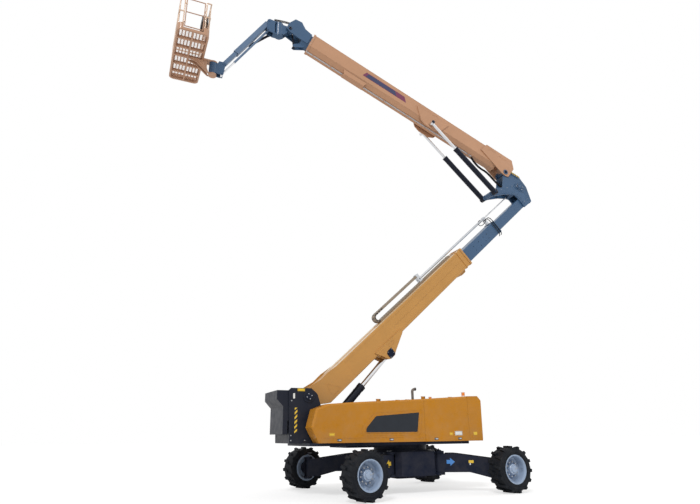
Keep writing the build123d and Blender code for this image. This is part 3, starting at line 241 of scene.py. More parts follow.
MATERIALS = {
    "hood": paint("paint_hood", OCHRE, 0.28, 0.25, shine=0.15),
    "boom": paint("paint_boom", TAN, 0.36, 0.15),
    "upper": paint("paint_upper_boom", (0.48, 0.257, 0.145), 0.36, 0.15),
    "basket": paint("paint_platform", (0.47, 0.27, 0.17), 0.4, 0.15),
    "basket_pale": paint("paint_platform_rails", (0.70, 0.50, 0.36), 0.4, 0.3),
    "slate": paint("paint_slate", SLATE, 0.36, 0.15, dust=0.1),
    "slate_pale": paint("paint_slate_pale", PALE_SLATE, 0.36, 0.15),
    "navy": paint("paint_navy", NAVY, 0.40, 0.0, dust=0.06, shine=0.10),
    "charcoal": paint("paint_charcoal", CHARCOAL, 0.4, 0.05, dust=0.06, shine=0.12),
    "rim": paint("paint_rim", (0.30, 0.39, 0.53), 0.36, 0.2, dust=0.15),
    # cream paint for the boom's top strips, a painted sheen of the lit top face
    "cream": paint("paint_cream", (0.66, 0.56, 0.40), 0.4, 0.2),
    "chrome": metal("chrome", (0.80, 0.81, 0.83), 0.07, (1, 1, 1)),
    "zinc": metal("zinc", (0.62, 0.64, 0.67), 0.28),
    "steel": metal("bolt_steel", (0.42, 0.43, 0.45), 0.35),
    "soot": metal("exhaust_steel", (0.20, 0.17, 0.15), 0.5, scratch=0.15),
    "cast": paint("cast_iron", (0.08, 0.08, 0.085), 0.6, 0.0),
    "tyre": rubber("tyre_rubber", (0.007, 0.009, 0.013), 0.06),
    "hose": rubber("hose_rubber", (0.014, 0.014, 0.016), 0.1),
    "chain": plastic("chain_plastic", (0.26, 0.205, 0.15), 0.5),
    "black": plastic("black_plastic", (0.018, 0.018, 0.021), 0.42),
    "dark_panel": plastic("dark_panel", (0.014, 0.018, 0.026), 0.16, 60, 0.0001, 0.3),
    "yellow": paint("warning_yellow", (0.80, 0.52, 0.02), 0.4, 0.2),
    "white": paint("label_white", (0.78, 0.78, 0.75), 0.4, 0.1),
    "blue": paint("label_blue", (0.03, 0.22, 0.62), 0.4, 0.2),
    "plum": paint("stripe_plum", (0.16, 0.025, 0.075), 0.3, 0.4),
    "stripe_navy": paint("stripe_navy", (0.03, 0.035, 0.10), 0.3, 0.4),
    "red": plastic("stop_red", (0.55, 0.02, 0.015), 0.3),
    "amber": plastic("amber_lens", (0.85, 0.24, 0.01), 0.15, 80),
}


def dress(names, material):
    """Gives CAD nodes one material."""
    for name in names:
        mesh = nodes[name].data
        mesh.materials.clear()
        mesh.materials.append(MATERIALS[material])


DRESS = {
    "hood": ["counterweight", "hood_near_front", "hood_near_mid", "hood_far_front", "hood_far_mid"],
    "boom": ["lower_boom_outer"],
    "upper": ["upper_boom_outer"],
    "basket": ["platform_floor", "platform_gate", "platform_support"],
    "basket_pale": ["platform_rails"],
    "slate": ["lower_boom_mid", "lower_boom_inner", "knuckle_frame", "upper_boom_inner", "head_bracket",
              "jib_base", "platform_mount"],
    "slate_pale": ["jib_outer", "jib_inner", "jib_link_outer"],
    "navy": ["chassis_frame", "turntable_frame"] + [f"{part}_{c}" for c in CORNERS for part in
                                                     ("axle_arm", "steer_knuckle")],
    "charcoal": ["boom_riser", "front_guard", "lower_lift_tube", "upper_lift_tubes", "level_cylinder_tube",
                 "jib_cylinder_tube"],
    "rim": [f"rim_{c}" for c in CORNERS],
    "tyre": [f"tyre_{c}" for c in CORNERS],
    "chrome": ["lower_lift_rod", "upper_lift_rods", "level_cylinder_rod", "jib_cylinder_rod",
               "jib_link_inner", "hose_slide_tube"],
    "zinc": ["hose_carrier"],
    "chain": ["cable_chain"],
    "cast": ["engine_block"],
    "soot": ["exhaust_pipe"],
    "black": ["control_box"],
}
for look, names in DRESS.items():
    dress(names, look)


# ---------------- mesh helpers
def linked(name, data):
    """Object in the scene that shows the data."""
    item = bpy.data.objects.new(name, data)
    bpy.context.scene.collection.objects.link(item)
    return item


def finish_piece(mesh, name, material, body, smooth=False):
    """Turns a bmesh into an object that rides on a body."""
    data = bpy.data.meshes.new(name)
    mesh.normal_update()
    mesh.to_mesh(data)
    mesh.free()
    for face in data.polygons:
        face.use_smooth = smooth
    for each in [material] if isinstance(material, str) else material:
        data.materials.append(MATERIALS[each])
    piece = linked(name, data)
    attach(piece, body)
    return piece


def axes(origin, x, y, z):
    """Matrix with three unit axes at a point."""
    return Matrix.Translation(origin) @ Matrix((x, y, z)).transposed().to_4x4()


def basis(origin, x, y):
    """Matrix whose x and y run along the given directions and z square to both."""
    x, y = Vector(x).normalized(), Vector(y).normalized()
    z = x.cross(y).normalized()
    return axes(origin, x, z.cross(x), z)


def level_at(x, y, z):
    """Level plane through a point of the row frame."""
    return basis(Vector((x, y, z)), (1, 0, 0), (0, 1, 0))


def moved(place, x=0, y=0, z=0):
    """Place shifted along its own axes."""
    return place @ Matrix.Translation((x, y, z))


def add_prism(mesh, place, outline, thick, bevel=0.0, material=0):
    """Extruded outline in place's x and y, from its plane towards +z."""
    low = [mesh.verts.new(place @ Vector((x, y, 0))) for x, y in outline]
    high = [mesh.verts.new(place @ Vector((x, y, thick))) for x, y in outline]
    count = len(outline)
    faces = [mesh.faces.new(list(reversed(low))), mesh.faces.new(high)]
    for i in range(count):
        j = (i + 1) % count
        faces.append(mesh.faces.new((low[i], low[j], high[j], high[i])))
    for face in faces:
        face.material_index = material
    bmesh.ops.recalc_face_normals(mesh, faces=faces)
    if bevel:
        rim = [*faces[1].edges, *faces[0].edges]
        bmesh.ops.bevel(mesh, geom=rim, offset=bevel, segments=2, affect="EDGES", profile=0.5)
    return faces


def add_turned(mesh, place, profile, sides=24, material=0, closed=True):
    """Body of revolution about place's z from (radius, height) points."""
    turns = [2 * pi * i / sides for i in range(sides)]
    rings = [[mesh.verts.new(place @ Vector((radius * cos(t), radius * sin(t), height))) for t in turns]
             for radius, height in profile]
    faces = []
    for low, high in zip(rings, rings[1:]):
        for i in range(sides):
            j = (i + 1) % sides
            faces.append(mesh.faces.new((low[i], low[j], high[j], high[i])))
    if closed:
        faces.append(mesh.faces.new(list(reversed(rings[0]))))
        faces.append(mesh.faces.new(rings[-1]))
    for face in faces:
        face.material_index = material
    return faces


def add_bolt(mesh, place, size=0.016, material=0):
    """Hexagon head on a washer, standing on place's plane."""
    add_turned(mesh, place, [(size * 1.15, 0), (size * 1.15, size * 0.2)], 16, material)
    hexagon = [(size * 0.95, size * 0.2), (size * 0.95, size * 0.75), (size * 0.75, size * 0.9)]
    add_turned(mesh, place, hexagon, 6, material)


def bolt_ring(mesh, place, radius, count, size=0.016, start=0.0, material=0):
    """Bolts on a circle round place's z."""
    for i in range(count):
        turn = start + 2 * pi * i / count
        add_bolt(mesh, moved(place, radius * cos(turn), radius * sin(turn)), size, material)


def add_bolts(mesh, place, spots, size, flip=1, material=0):
    """Bolts at x, y spots on a face, y turned over where flip is -1."""
    for x, y in spots:
        add_bolt(mesh, moved(place, x, flip * y), size, material)


def add_box(mesh, place, size, bevel=0.0, material=0):
    """Box centred on place, size along its x, y and z."""
    x, y, z = (length / 2 for length in size)
    outline = [(-x, -y), (x, -y), (x, y), (-x, y)]
    return add_prism(mesh, moved(place, z=-z), outline, 2 * z, bevel, material)


def tube(name, points, radius, material, body, smooth_path=True):
    """Round pipe through points as a curve."""
    curve = bpy.data.curves.new(name, "CURVE")
    curve.dimensions = "3D"
    curve.bevel_depth = radius
    curve.bevel_resolution = 3
    curve.use_fill_caps = True
    spline = curve.splines.new("NURBS" if smooth_path else "POLY")
    spline.points.add(len(points) - 1)
    for spot, point in zip(spline.points, points):
        spot.co = (*point, 1)
    if smooth_path:
        spline.order_u = 3
        spline.use_endpoint_u = True
    curve.materials.append(MATERIALS[material])
    piece = linked(name, curve)
    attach(piece, body)
    return piece


def rounded(width, height, radius, steps=4):
    """Outline of a rounded rectangle, centred."""
    points = []
    for cx, cy, start in ((1, 1, 0), (-1, 1, 90), (-1, -1, 180), (1, -1, 270)):
        for k in range(steps + 1):
            turn = radians(start + 90 * k / steps)
            points.append((cx * (width / 2 - radius) + radius * cos(turn),
                           cy * (height / 2 - radius) + radius * sin(turn)))
    return points


# ---------------- placing
def slewed(x, y, z):
    """Point given from the slewing axis, which is the middle of the turntable."""
    return Vector((SLEW.x + x, y, z))


def side_basis(origin, y_side, x=Vector((1, 0, 0))):
    """Plane lying on a face that looks along y_side, its z pointing outwards."""
    return basis(origin, x, UP if y_side < 0 else -UP)


def hazard(name, place, width, height, body, pitch=0.09, thick=0.0015):
    """Slanting yellow and black bands on a strip."""
    mesh = bmesh.new()
    add_prism(mesh, place, [(-width / 2, -height / 2), (width / 2, -height / 2), (width / 2, height / 2),
                            (-width / 2, height / 2)], thick)
    bands = int((height + width) / pitch) + 1
    for k in range(bands):
        low = -height / 2 - width + k * pitch
        corners = [(-width / 2, low), (width / 2, low + width), (width / 2, low + width + pitch / 2),
                   (-width / 2, low + pitch / 2)]
        inside = [(x, min(max(y, -height / 2), height / 2)) for x, y in corners]
        heights = [y for x, y in inside]
        open_side = inside[3][1] - inside[0][1] > 1e-4 or inside[2][1] - inside[1][1] > 1e-4
        if max(heights) - min(heights) > 0.005 and open_side:
            spots = [p for i, p in enumerate(inside) if p not in inside[:i]]
            if len(spots) > 2:
                add_prism(mesh, moved(place, z=thick), spots, thick * 0.6, material=1)
    return finish_piece(mesh, name, ("yellow", "black"), body)


def disc_cover(name, centre, y_side, radius, thick, material, body, bolts=6, bolt=0.014):
    """Pin's end cover with a raised rim and a ring of bolts."""
    mesh = bmesh.new()
    place = side_basis(centre, y_side)
    profile = ((1, 0), (1, 0.7), (0.93, 1), (0.62, 1), (0.56, 0.72), (0.2, 0.72))
    add_turned(mesh, place, [(radius * r, thick * h) for r, h in profile], 36)
    if bolts:
        bolt_ring(mesh, moved(place, z=thick), radius * 0.78, bolts, bolt, 0.3, 1)
    return finish_piece(mesh, name, (material, "steel"), body)


def clamps(name, arm, stations, n, y, body, size=(0.05, 0.03, 0.05), material="black"):
    """Small blocks that hold a line against a boom."""
    mesh = bmesh.new()
    for s in stations:
        add_box(mesh, basis(arm.at(s, n, y), arm.along, arm.up), size, 0.004)
    return finish_piece(mesh, name, material, body)


# ---------------- wheels
def corner_place(corner):
    """Wheel's middle, its z along the axle outwards."""
    hub = pivot(f"spin_{corner}")
    out = travel(f"spin_{corner}")
    if out.y * hub.y < 0:
        out = -out
    ahead = UP.cross(out).normalized()
    return axes(hub, ahead, out.cross(ahead), out)


def dress_wheels():
    """Hub drives, bolts and lips of the rims, rings of the sidewalls."""
    for corner in CORNERS:
        place = corner_place(corner)
        outer = 0.2225  # half the tyre's width
        mesh = bmesh.new()
        face = moved(place, z=outer - 0.152)
        # hub drive with its two steps
        add_turned(mesh, face, [(0.128, 0), (0.128, 0.055), (0.118, 0.066), (0.085, 0.072), (0.078, 0.098),
                                (0.030, 0.102)], 40, 1)
        bolt_ring(mesh, face, 0.176, 10, 0.019, 0.15, 2)
        bolt_ring(mesh, moved(face, z=0.066), 0.102, 8, 0.010, 0.2, 2)
        add_turned(mesh, moved(face, 0.035, 0.02, 0.10), [(0.014, 0), (0.014, 0.012)], 12, 2)
        # valve in the dish
        add_turned(mesh, moved(place, 0.265, 0, outer - 0.10), [(0.009, 0), (0.009, 0.05), (0.005, 0.06)],
                   10, 2)
        # rolled lips of the rim
        for lip in (-outer, outer):
            profile = [(LIP_R - 0.006, lip - 0.002), (LIP_R + 0.004, lip - 0.004), (LIP_R + 0.006, lip),
                       (LIP_R + 0.004, lip + 0.004), (LIP_R - 0.006, lip + 0.002)]
            add_turned(mesh, place, profile if lip > 0 else profile[::-1], 48, 0, closed=False)
        finish_piece(mesh, f"hub_{corner}", ("rim", "rim", "steel"), f"wheel_{corner}")
        # moulded rings of the sidewall
        mesh = bmesh.new()
        for r, h, w in ((0.405, 0.2215, 0.006), (0.470, 0.2165, 0.005)):
            for sign in (-1, 1):
                profile = [(r - w, sign * (h - 0.004)), (r - w * 0.5, sign * (h + 0.0035)),
                           (r + w * 0.5, sign * (h + 0.0035)), (r + w, sign * (h - 0.006))]
                add_turned(mesh, place, profile if sign > 0 else profile[::-1], 60, closed=False)
        finish_piece(mesh, f"sidewall_{corner}", "tyre", f"wheel_{corner}", smooth=True)


dress_wheels()


# ---------------- arms and chassis
def arrow(mesh, place, length, height, thick, material=0):
    """Flat arrow that points along place's x."""
    half, head = length / 2, height * 0.62
    upper = [(half - head, height / 2), (half - head, height * 0.24), (-half, height * 0.24)]
    lower = [(x, -y) for x, y in reversed(upper)]
    add_prism(mesh, place, lower + [(half, 0)] + upper, thick, material=material)


def dress_arms():
    """Pin caps, hoses and signs of the axle arms."""
    for corner in CORNERS:
        hub = pivot(f"arm_swing_{corner}")
        king = pivot(f"steer_{corner}")
        reach = Vector((king.x - hub.x, king.y - hub.y, 0)).normalized()
        square = UP.cross(reach)
        mesh = bmesh.new()
        cap = level_at(king.x, king.y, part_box(f"axle_arm_{corner}")[1][2])
        add_turned(mesh, cap, [(0.070, -0.004), (0.070, 0.012), (0.060, 0.018), (0.02, 0.018)], 28)
        bolt_ring(mesh, moved(cap, z=0.018), 0.045, 6, 0.009, 0, 1)
        hub_top = level_at(hub.x, hub.y, CHASSIS_TOP)
        add_turned(mesh, hub_top, [(0.085, -0.003), (0.085, 0.014), (0.07, 0.022), (0.02, 0.022)], 32)
        bolt_ring(mesh, moved(hub_top, z=0.022), 0.058, 6, 0.010, 0.4, 1)
        finish_piece(mesh, f"arm_caps_{corner}", ("navy", "steel"), f"arm_{corner}")
        # signs on the side that looks away from the machine
        if corner in ("near_front", "near_rear"):
            facing = square if square.y < 0 else -square
            tilt = (reach - facing * 0.04).normalized()
            lie = UP if tilt.cross(UP).dot(facing) > 0 else -UP
            mesh = bmesh.new()
            run = 0.25 if corner == "near_front" else 0.32
            at = Vector((hub.x, hub.y, 0.745)) + reach * run + facing * (0.1275 - run * 0.04)
            arrow(mesh, basis(at, tilt, lie), 0.22, 0.20, 0.002, 0 if corner == "near_front" else 1)
            if corner == "near_rear":
                tilt = (reach * 0.545 - facing * 0.058).normalized()
                for run, high_at, wide, high, slot in ((0.86, 0.745, 0.13, 0.07, 0),
                                                       (0.83, 0.69, 0.03, 0.05, 2)):
                    spot = Vector((hub.x, hub.y, high_at)) + reach * run
                    spot += facing * (0.1115 - (run - 0.38) * 0.1064)
                    add_box(mesh, basis(spot, tilt, lie), (wide, high, 0.004), 0, slot)
            finish_piece(mesh, f"arm_signs_{corner}", ("yellow", "blue", "white"), f"arm_{corner}")
        # hoses along the arm's upper edge
        line = []
        for run in (0.17, 0.30, ARM_FLAT, 0.80, 1.20, 1.45):
            drop = max(0.0, run - ARM_FLAT) * ARM_DROP / ARM_RUN
            line.append(Vector((hub.x, hub.y, ARM_TOP - drop + 0.011)) + reach * run)
        for k, shift in enumerate((-0.022, 0.022)):
            tube(f"arm_hose_{corner}_{k}", [p + square * shift for p in line], 0.011, "hose", f"arm_{corner}")


dress_arms()


# ---------------- raised outlines and panels
def add_ring(mesh, place, outer, inner, thick, material=0):
    """Flat frame between two outlines that have the same number of points."""
    count = len(outer)
    loops = [[mesh.verts.new(place @ Vector((x, y, z))) for x, y in outline]
             for outline, z in ((outer, 0), (outer, thick), (inner, thick), (inner, 0))]
    for first, second in zip(loops, loops[1:] + loops[:1]):
        for i in range(count):
            j = (i + 1) % count
            mesh.faces.new((first[i], first[j], second[j], second[i])).material_index = material


def corners_of(outline):
    """Each corner of an outline, with the one before it and the one after it."""
    points = [Vector(point) for point in outline]
    return zip(points[-1:] + points[:-1], points, points[1:] + points[:1])


def inset(outline, amount):
    """Outline moved inwards by an amount, for outlines that turn to the left."""
    result = []
    for before, here, after in corners_of(outline):
        first, second = (here - before).normalized(), (after - here).normalized()
        square = Vector((-first.y - second.y, first.x + second.x)).normalized()
        shift = amount / max(0.3, square.dot(Vector((-first.y, first.x))))
        result.append(tuple(here + square * shift))
    return result


def turned_left(outline):
    """Outline that runs anticlockwise."""
    area = sum(a[0] * b[1] - b[0] * a[1] for a, b in zip(outline, outline[1:] + outline[:1]))
    return list(outline) if area > 0 else list(reversed(outline))


def soften(outline, radius, steps=3):
    """Outline with its corners cut round."""
    result = []
    for before, here, after in corners_of(outline):
        start = here + (before - here).normalized() * min(radius, (before - here).length * 0.45)
        end = here + (after - here).normalized() * min(radius, (after - here).length * 0.45)
        for k in range(steps + 1):
            t = k / steps
            result.append(tuple(start * (1 - t) ** 2 + here * 2 * t * (1 - t) + end * t ** 2))
    return result


def on_side(x, y_side, face_y, z=0.0):
    """Plane on a face of the turntable, its x forwards along the machine as seen from outside."""
    return basis(slewed(x, y_side * face_y, z), (1, 0, 0), UP if y_side < 0 else -UP)


def side_points(points, y_side):
    """Points x, z on a side face, turned over for the far side, whose plane has its y downwards."""
    return turned_left([(x, -y_side * z) for x, z in points])


# ---------------- hoods
WINDOW = [(-1.64, 1.62), (-1.64, 1.49), (-0.10, 1.49), (-0.02, 2.03), (-1.34, 1.93)]


def dress_hoods():
    """Windows, latches, plates and louvres of the hoods, with what stands on the tail."""
    for flank, y_side in FLANKS:
        place = on_side(0, y_side, HOOD_FACE)
        body = f"hood_{flank}_front"
        mesh = bmesh.new()
        outline = soften(side_points(WINDOW, y_side), 0.05, 4)
        glass = inset(outline, 0.016)
        add_ring(mesh, place, outline, inset(outline, 0.022), 0.010)
        add_prism(mesh, place, glass, 0.004, material=1)
        # shallow crease round the window and along the lower edge
        wide = soften(side_points([(-1.74, 1.64), (-1.74, 1.43), (-0.02, 1.43), (0.07, 2.08), (-1.38, 1.99)],
                                  y_side), 0.07, 4)
        add_ring(mesh, place, wide, inset(wide, 0.010), 0.0035)
        fold = side_points([(-2.80, 1.375), (-0.34, 1.385), (-0.28, 1.34), (0.02, 1.34), (0.08, 1.385),
                            (0.08, 1.392), (0.015, 1.35), (-0.275, 1.35), (-0.335, 1.395),
                            (-2.80, 1.385)], y_side)
        add_prism(mesh, place, fold, 0.004)
        finish_piece(mesh, f"hood_window_{flank}", ("hood", "dark_panel"), body)
        # paddle latches with their plates
        for part, spots in (("front", (-2.35, -0.9)), ("mid", (0.45, 1.2))):
            mesh = bmesh.new()
            for x in spots:
                z = -y_side * 1.335
                spot = moved(place, x, z)
                add_prism(mesh, spot, rounded(0.12, 0.055, 0.012), 0.004, 0.001)
                add_prism(mesh, moved(spot, 0.008, 0, 0.004), rounded(0.075, 0.035, 0.008), 0.012, 0.003, 1)
                add_turned(mesh, moved(spot, -0.044, 0, 0.004), [(0.009, 0), (0.009, 0.006)], 14, 1)
            finish_piece(mesh, f"latches_{flank}_{part}", ("black", "zinc"), f"hood_{flank}_{part}")
        # blank plates
        for part, plates in (("front", (("yellow", -2.55, 1.47, 0.15, 0.07),)),
                             ("mid", (("yellow", 0.93, 1.46, 0.10, 0.07),
                                      ("white", 1.17, 1.47, 0.24, 0.11)))):
            for k, (look, x, z, width, height) in enumerate(plates):
                mesh = bmesh.new()
                spot = moved(place, x, -y_side * z)
                add_prism(mesh, spot, rounded(width, height, 0.008), LABEL)
                add_ring(mesh, moved(spot, z=LABEL), rounded(width - 0.012, height - 0.012, 0.005),
                         rounded(width - 0.024, height - 0.024, 0.004), 0.0004, 1)
                finish_piece(mesh, f"plate_{flank}_{part}_{k}",
                             (look, "hood" if look == "yellow" else "black"), f"hood_{flank}_{part}")
    # louvres of the engine bay, on the far lid only
    mesh = bmesh.new()
    place = on_side(0, 1, HOOD_FACE)
    bay = turned_left([(0.345, -1.625), (1.295, -1.625), (1.295, -2.095), (0.345, -2.095)])
    edge = turned_left([(0.32, -1.60), (1.32, -1.60), (1.32, -2.12), (0.32, -2.12)])
    add_ring(mesh, place, edge, bay, 0.012)
    add_prism(mesh, place, bay, 0.002, material=1)
    for k in range(10):
        low = -1.645 - 0.046 * k
        slat = basis(slewed(0.82, HOOD_FACE + 0.006, -low + 0.004), (1, 0, 0), (0, 0.55, -0.83))
        add_box(mesh, slat, (0.95, 0.034, 0.003))
    finish_piece(mesh, "engine_louvres", ("hood", "black"), "hood_far_mid")
    # tail plates and beacons on the counterweight
    mesh = bmesh.new()
    for y_side in (-1, 1):
        place = on_side(0, y_side, HOOD_FACE)
        add_prism(mesh, moved(place, 1.72, -y_side * 1.46), rounded(0.12, 0.08, 0.008), LABEL)
    finish_piece(mesh, "tail_plates", "yellow", "turntable")
    for index, (x, y, z) in enumerate(((1.60, -0.98, 2.452), (1.66, 0.92, 2.453))):
        mesh = bmesh.new()
        foot = level_at(SLEW.x + x, y, z - 0.004)
        add_turned(mesh, foot, [(0.062, 0), (0.062, 0.014), (0.050, 0.022), (0.050, 0.034)], 28, 1)
        add_turned(mesh, moved(foot, z=0.034),
                   [(0.046, 0), (0.047, 0.03), (0.044, 0.072), (0.034, 0.092), (0.014, 0.100)], 28, 0)
        for k in range(4):
            turn = pi / 2 * k + 0.4
            spot = moved(foot, 0.056 * cos(turn), 0.056 * sin(turn), 0.016)
            add_turned(mesh, spot, [(0.0035, 0), (0.0035, 0.11)], 8, 1)
        outer, inner = ([(r * cos(t * pi / 12), r * sin(t * pi / 12)) for t in range(24)]
                        for r in (0.060, 0.052))
        add_ring(mesh, moved(foot, z=0.122), outer, inner, 0.006, 1)
        finish_piece(mesh, f"beacon_{index}", ("amber", "white"), "turntable")
    # bent end of the exhaust
    low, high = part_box("exhaust_pipe")
    foot = Vector(((low[0] + high[0]) / 2, (low[1] + high[1]) / 2, high[2] - 0.05))
    bend = [foot + Vector((x, 0, z))
            for x, z in ((0, 0), (0, 0.03), (0, 0.09), (0.05, 0.125), (0.115, 0.13))]
    tube("exhaust_bend", bend, 0.042, "soot", "turntable")
    mesh = bmesh.new()
    mouth = basis(bend[-1], (0, 1, 0), (0, 0, 1))
    add_turned(mesh, mouth, [(0.046, -0.03), (0.047, 0.004), (0.040, 0.005), (0.038, 0.001), (0.01, 0.0005)],
               28)
    finish_piece(mesh, "exhaust_mouth", "black", "turntable")


dress_hoods()


# ---------------- riser and deck
def dress_riser():
    """Stripes, plates and bolts on the riser, treads on the front guard."""
    for flank, y_side in FLANKS:
        place = on_side(0, y_side, RISER_FACE)
        hazard(f"riser_stripes_{flank}", moved(place, -3.30, -y_side * 1.82), 0.07, 0.62, "turntable", 0.115)
        mesh = bmesh.new()
        add_prism(mesh, moved(place, -3.17, -y_side * 2.575), rounded(0.20, 0.07, 0.006), 0.0015)
        add_ring(mesh, moved(place, -3.17, -y_side * 2.575, 0.0015), rounded(0.185, 0.055, 0.004),
                 rounded(0.175, 0.045, 0.003), 0.0004, 1)
        add_prism(mesh, moved(place, -3.36, -y_side * 2.42), rounded(0.05, 0.13, 0.006), 0.0015, material=2)
        finish_piece(mesh, f"riser_plates_{flank}", ("yellow", "black", "white"), "turntable")
        mesh = bmesh.new()
        add_bolts(mesh, place, ((-3.42, 1.34), (-3.42, 1.46), (-3.42, 2.30), (-3.05, 1.34), (-2.74, 1.34),
                                (-2.74, 1.50)), 0.015, -y_side)
        finish_piece(mesh, f"riser_bolts_{flank}", "steel", "turntable")
        disc_cover(f"boom_pin_cover_{flank}", slewed(-2.96, y_side * 0.690, 2.41), y_side, 0.085, 0.016,
                   "navy", "turntable", 4, 0.013)
    # pale step plates behind the front guard's top
    mesh = bmesh.new()
    for k in range(4):
        slope = basis(slewed(-3.70 + 0.045 * k, 0, 2.245 - 0.05 * k), (0, 1, 0), (-0.7, 0, 0.7))
        add_box(mesh, slope, (1.10, 0.022, 0.010), 0.003)
    finish_piece(mesh, "guard_treads", "zinc", "turntable")


dress_riser()


# ---------------- lower boom
def arm_side(arm, y_side, face_y):
    """Plane on an arm's side face, its x along the arm."""
    return basis(arm.at(0, 0, y_side * face_y), arm.along, arm.up * arm.flip(y_side))


def arm_points(arm, points, y_side):
    """Points s, n on a side face in the axes of arm_side."""
    return turned_left([(s, arm.flip(y_side) * n) for s, n in points])


def weld(mesh, arm, y_side, face_y, points, width=0.007, thick=0.003, material=0):
    """Raised bead along a line of s, n points on a side face."""
    place = arm_side(arm, y_side, face_y)
    flip = arm.flip(y_side)
    for (s0, n0), (s1, n1) in zip(points, points[1:]):
        start, end = Vector((s0, flip * n0)), Vector((s1, flip * n1))
        run = end - start
        square = Vector((-run.y, run.x)).normalized() * width / 2
        end = end + run.normalized() * width * 0.3
        corners = [tuple(start - square), tuple(end - square), tuple(end + square), tuple(start + square)]
        add_prism(mesh, place, corners, thick, material=material)


def dress_lower_boom():
    """Seams, covers and bolts of the lower boom, with the hoses round its middle section."""
    for flank, y_side in FLANKS:
        place = arm_side(LOWER, y_side, LOWER_LUG_FACE)
        flip = LOWER.flip(y_side)
        mesh = bmesh.new()
        for s in (2.57, 3.02):
            add_ring(mesh, moved(place, s, flip * -0.60), rounded(0.26, 0.095, 0.047, 8),
                     rounded(0.235, 0.070, 0.035, 8), 0.005)
        hem = soften(arm_points(LOWER, [(2.40, -0.48), (2.56, -0.73), (2.64, -0.89), (2.72, -0.925),
                                        (2.88, -0.925), (2.96, -0.87), (3.56, -0.60), (3.56, -0.48)],
                                y_side), 0.03, 2)
        add_ring(mesh, place, inset(hem, 0.004), inset(hem, 0.016), 0.003)
        tri = soften(arm_points(LOWER, [(0.62, -0.50), (0.98, -0.50), (0.70, -0.12)], y_side), 0.06, 3)
        add_ring(mesh, place, tri, inset(tri, 0.012), 0.004)
        # long crease and the seams of the boom's plates
        for line, width, thick in (([(3.52, -0.30), (7.02, -0.30)], 0.016, 0.004),
                                   ([(3.52, -0.30), (3.44, -0.345)], 0.016, 0.004),
                                   ([(1.50, -0.075), (7.02, -0.075)], 0.005, 0.002),
                                   ([(3.56, -0.515), (7.02, -0.515)], 0.005, 0.002)):
            weld(mesh, LOWER, y_side, LOWER_FACE, line, width, thick)
        finish_piece(mesh, f"boom_welds_{flank}", "boom", "lower_boom")
        # square cover over the lift cylinder's pin
        cover = moved(place, 2.81, flip * -0.80)
        mesh = bmesh.new()
        cut = [(-0.115, -0.115), (0.075, -0.115), (0.115, -0.06), (0.115, 0.115), (-0.05, 0.115),
               (-0.115, 0.06)]
        add_prism(mesh, cover, cut, 0.016, 0.004)
        for x, y in ((-0.085, -0.085), (0.085, 0.085), (-0.06, 0.08), (0.08, -0.04)):
            add_bolt(mesh, moved(cover, x, y, 0.016), 0.011, 1)
        finish_piece(mesh, f"lift_pin_cover_{flank}", ("navy", "steel"), "lower_boom")
        # bolts of the wear pads at the boom's end
        mesh = bmesh.new()
        end = arm_side(LOWER, y_side, LOWER_FACE + 0.018)
        spots = [(s, n) for s in (7.235, 7.285) for n in (-0.52, -0.44, -0.14, -0.06)]
        add_bolts(mesh, end, spots, 0.009, flip)
        finish_piece(mesh, f"boom_end_bolts_{flank}", "steel", "lower_boom")
    # pale strips on the boom's upper face: a painted sheen where the top face catches the light
    mesh = bmesh.new()
    for y in (-0.195, 0.195):
        add_box(mesh, basis(LOWER.at(4.15, 0.0212, y), LOWER.along, ACROSS), (6.3, 0.135, 0.0024))
    finish_piece(mesh, "boom_top_painted_sheen", "cream", "lower_boom")
    # dark plugs in the drilled holes of the mid section
    mesh = bmesh.new()
    for y_side in (-1, 1):
        place = arm_side(LOWER, y_side, MID_FACE)
        flip = LOWER.flip(y_side)
        for s in (7.85, 8.15, 8.45, 8.65):
            for n in (-0.25, -0.41):
                add_turned(mesh, moved(place, s, flip * n), [(0.014, 0), (0.014, 0.0015), (0.009, 0.002)], 16)
    finish_piece(mesh, "mid_plugs", "navy", "lower_mid")
    # hoses that loop from the carrier to the boom's sections
    around = [(9.10, 0.10, -0.10), (9.20, 0.16, -0.20), (9.24, 0.05, -0.262), (9.24, -0.30, -0.262),
              (9.24, -0.60, -0.262), (9.22, -0.64, -0.18)]
    for k in range(2):
        tube(f"mid_hose_{k}", [LOWER.at(s - 0.10 * k, n + 0.01 * k, y - 0.008) for s, n, y in around], 0.014,
             "hose", "lower_mid")
    loop = [(9.14, 0.19, 0.05), (9.02, 0.24, 0.03), (8.86, 0.20, -0.02), (8.80, 0.08, -0.06),
            (8.95, 0.03, -0.10), (9.12, 0.08, -0.12)]
    tube("carrier_hose", [LOWER.at(*p) for p in loop], 0.012, "hose", "lower_mid")


dress_lower_boom()


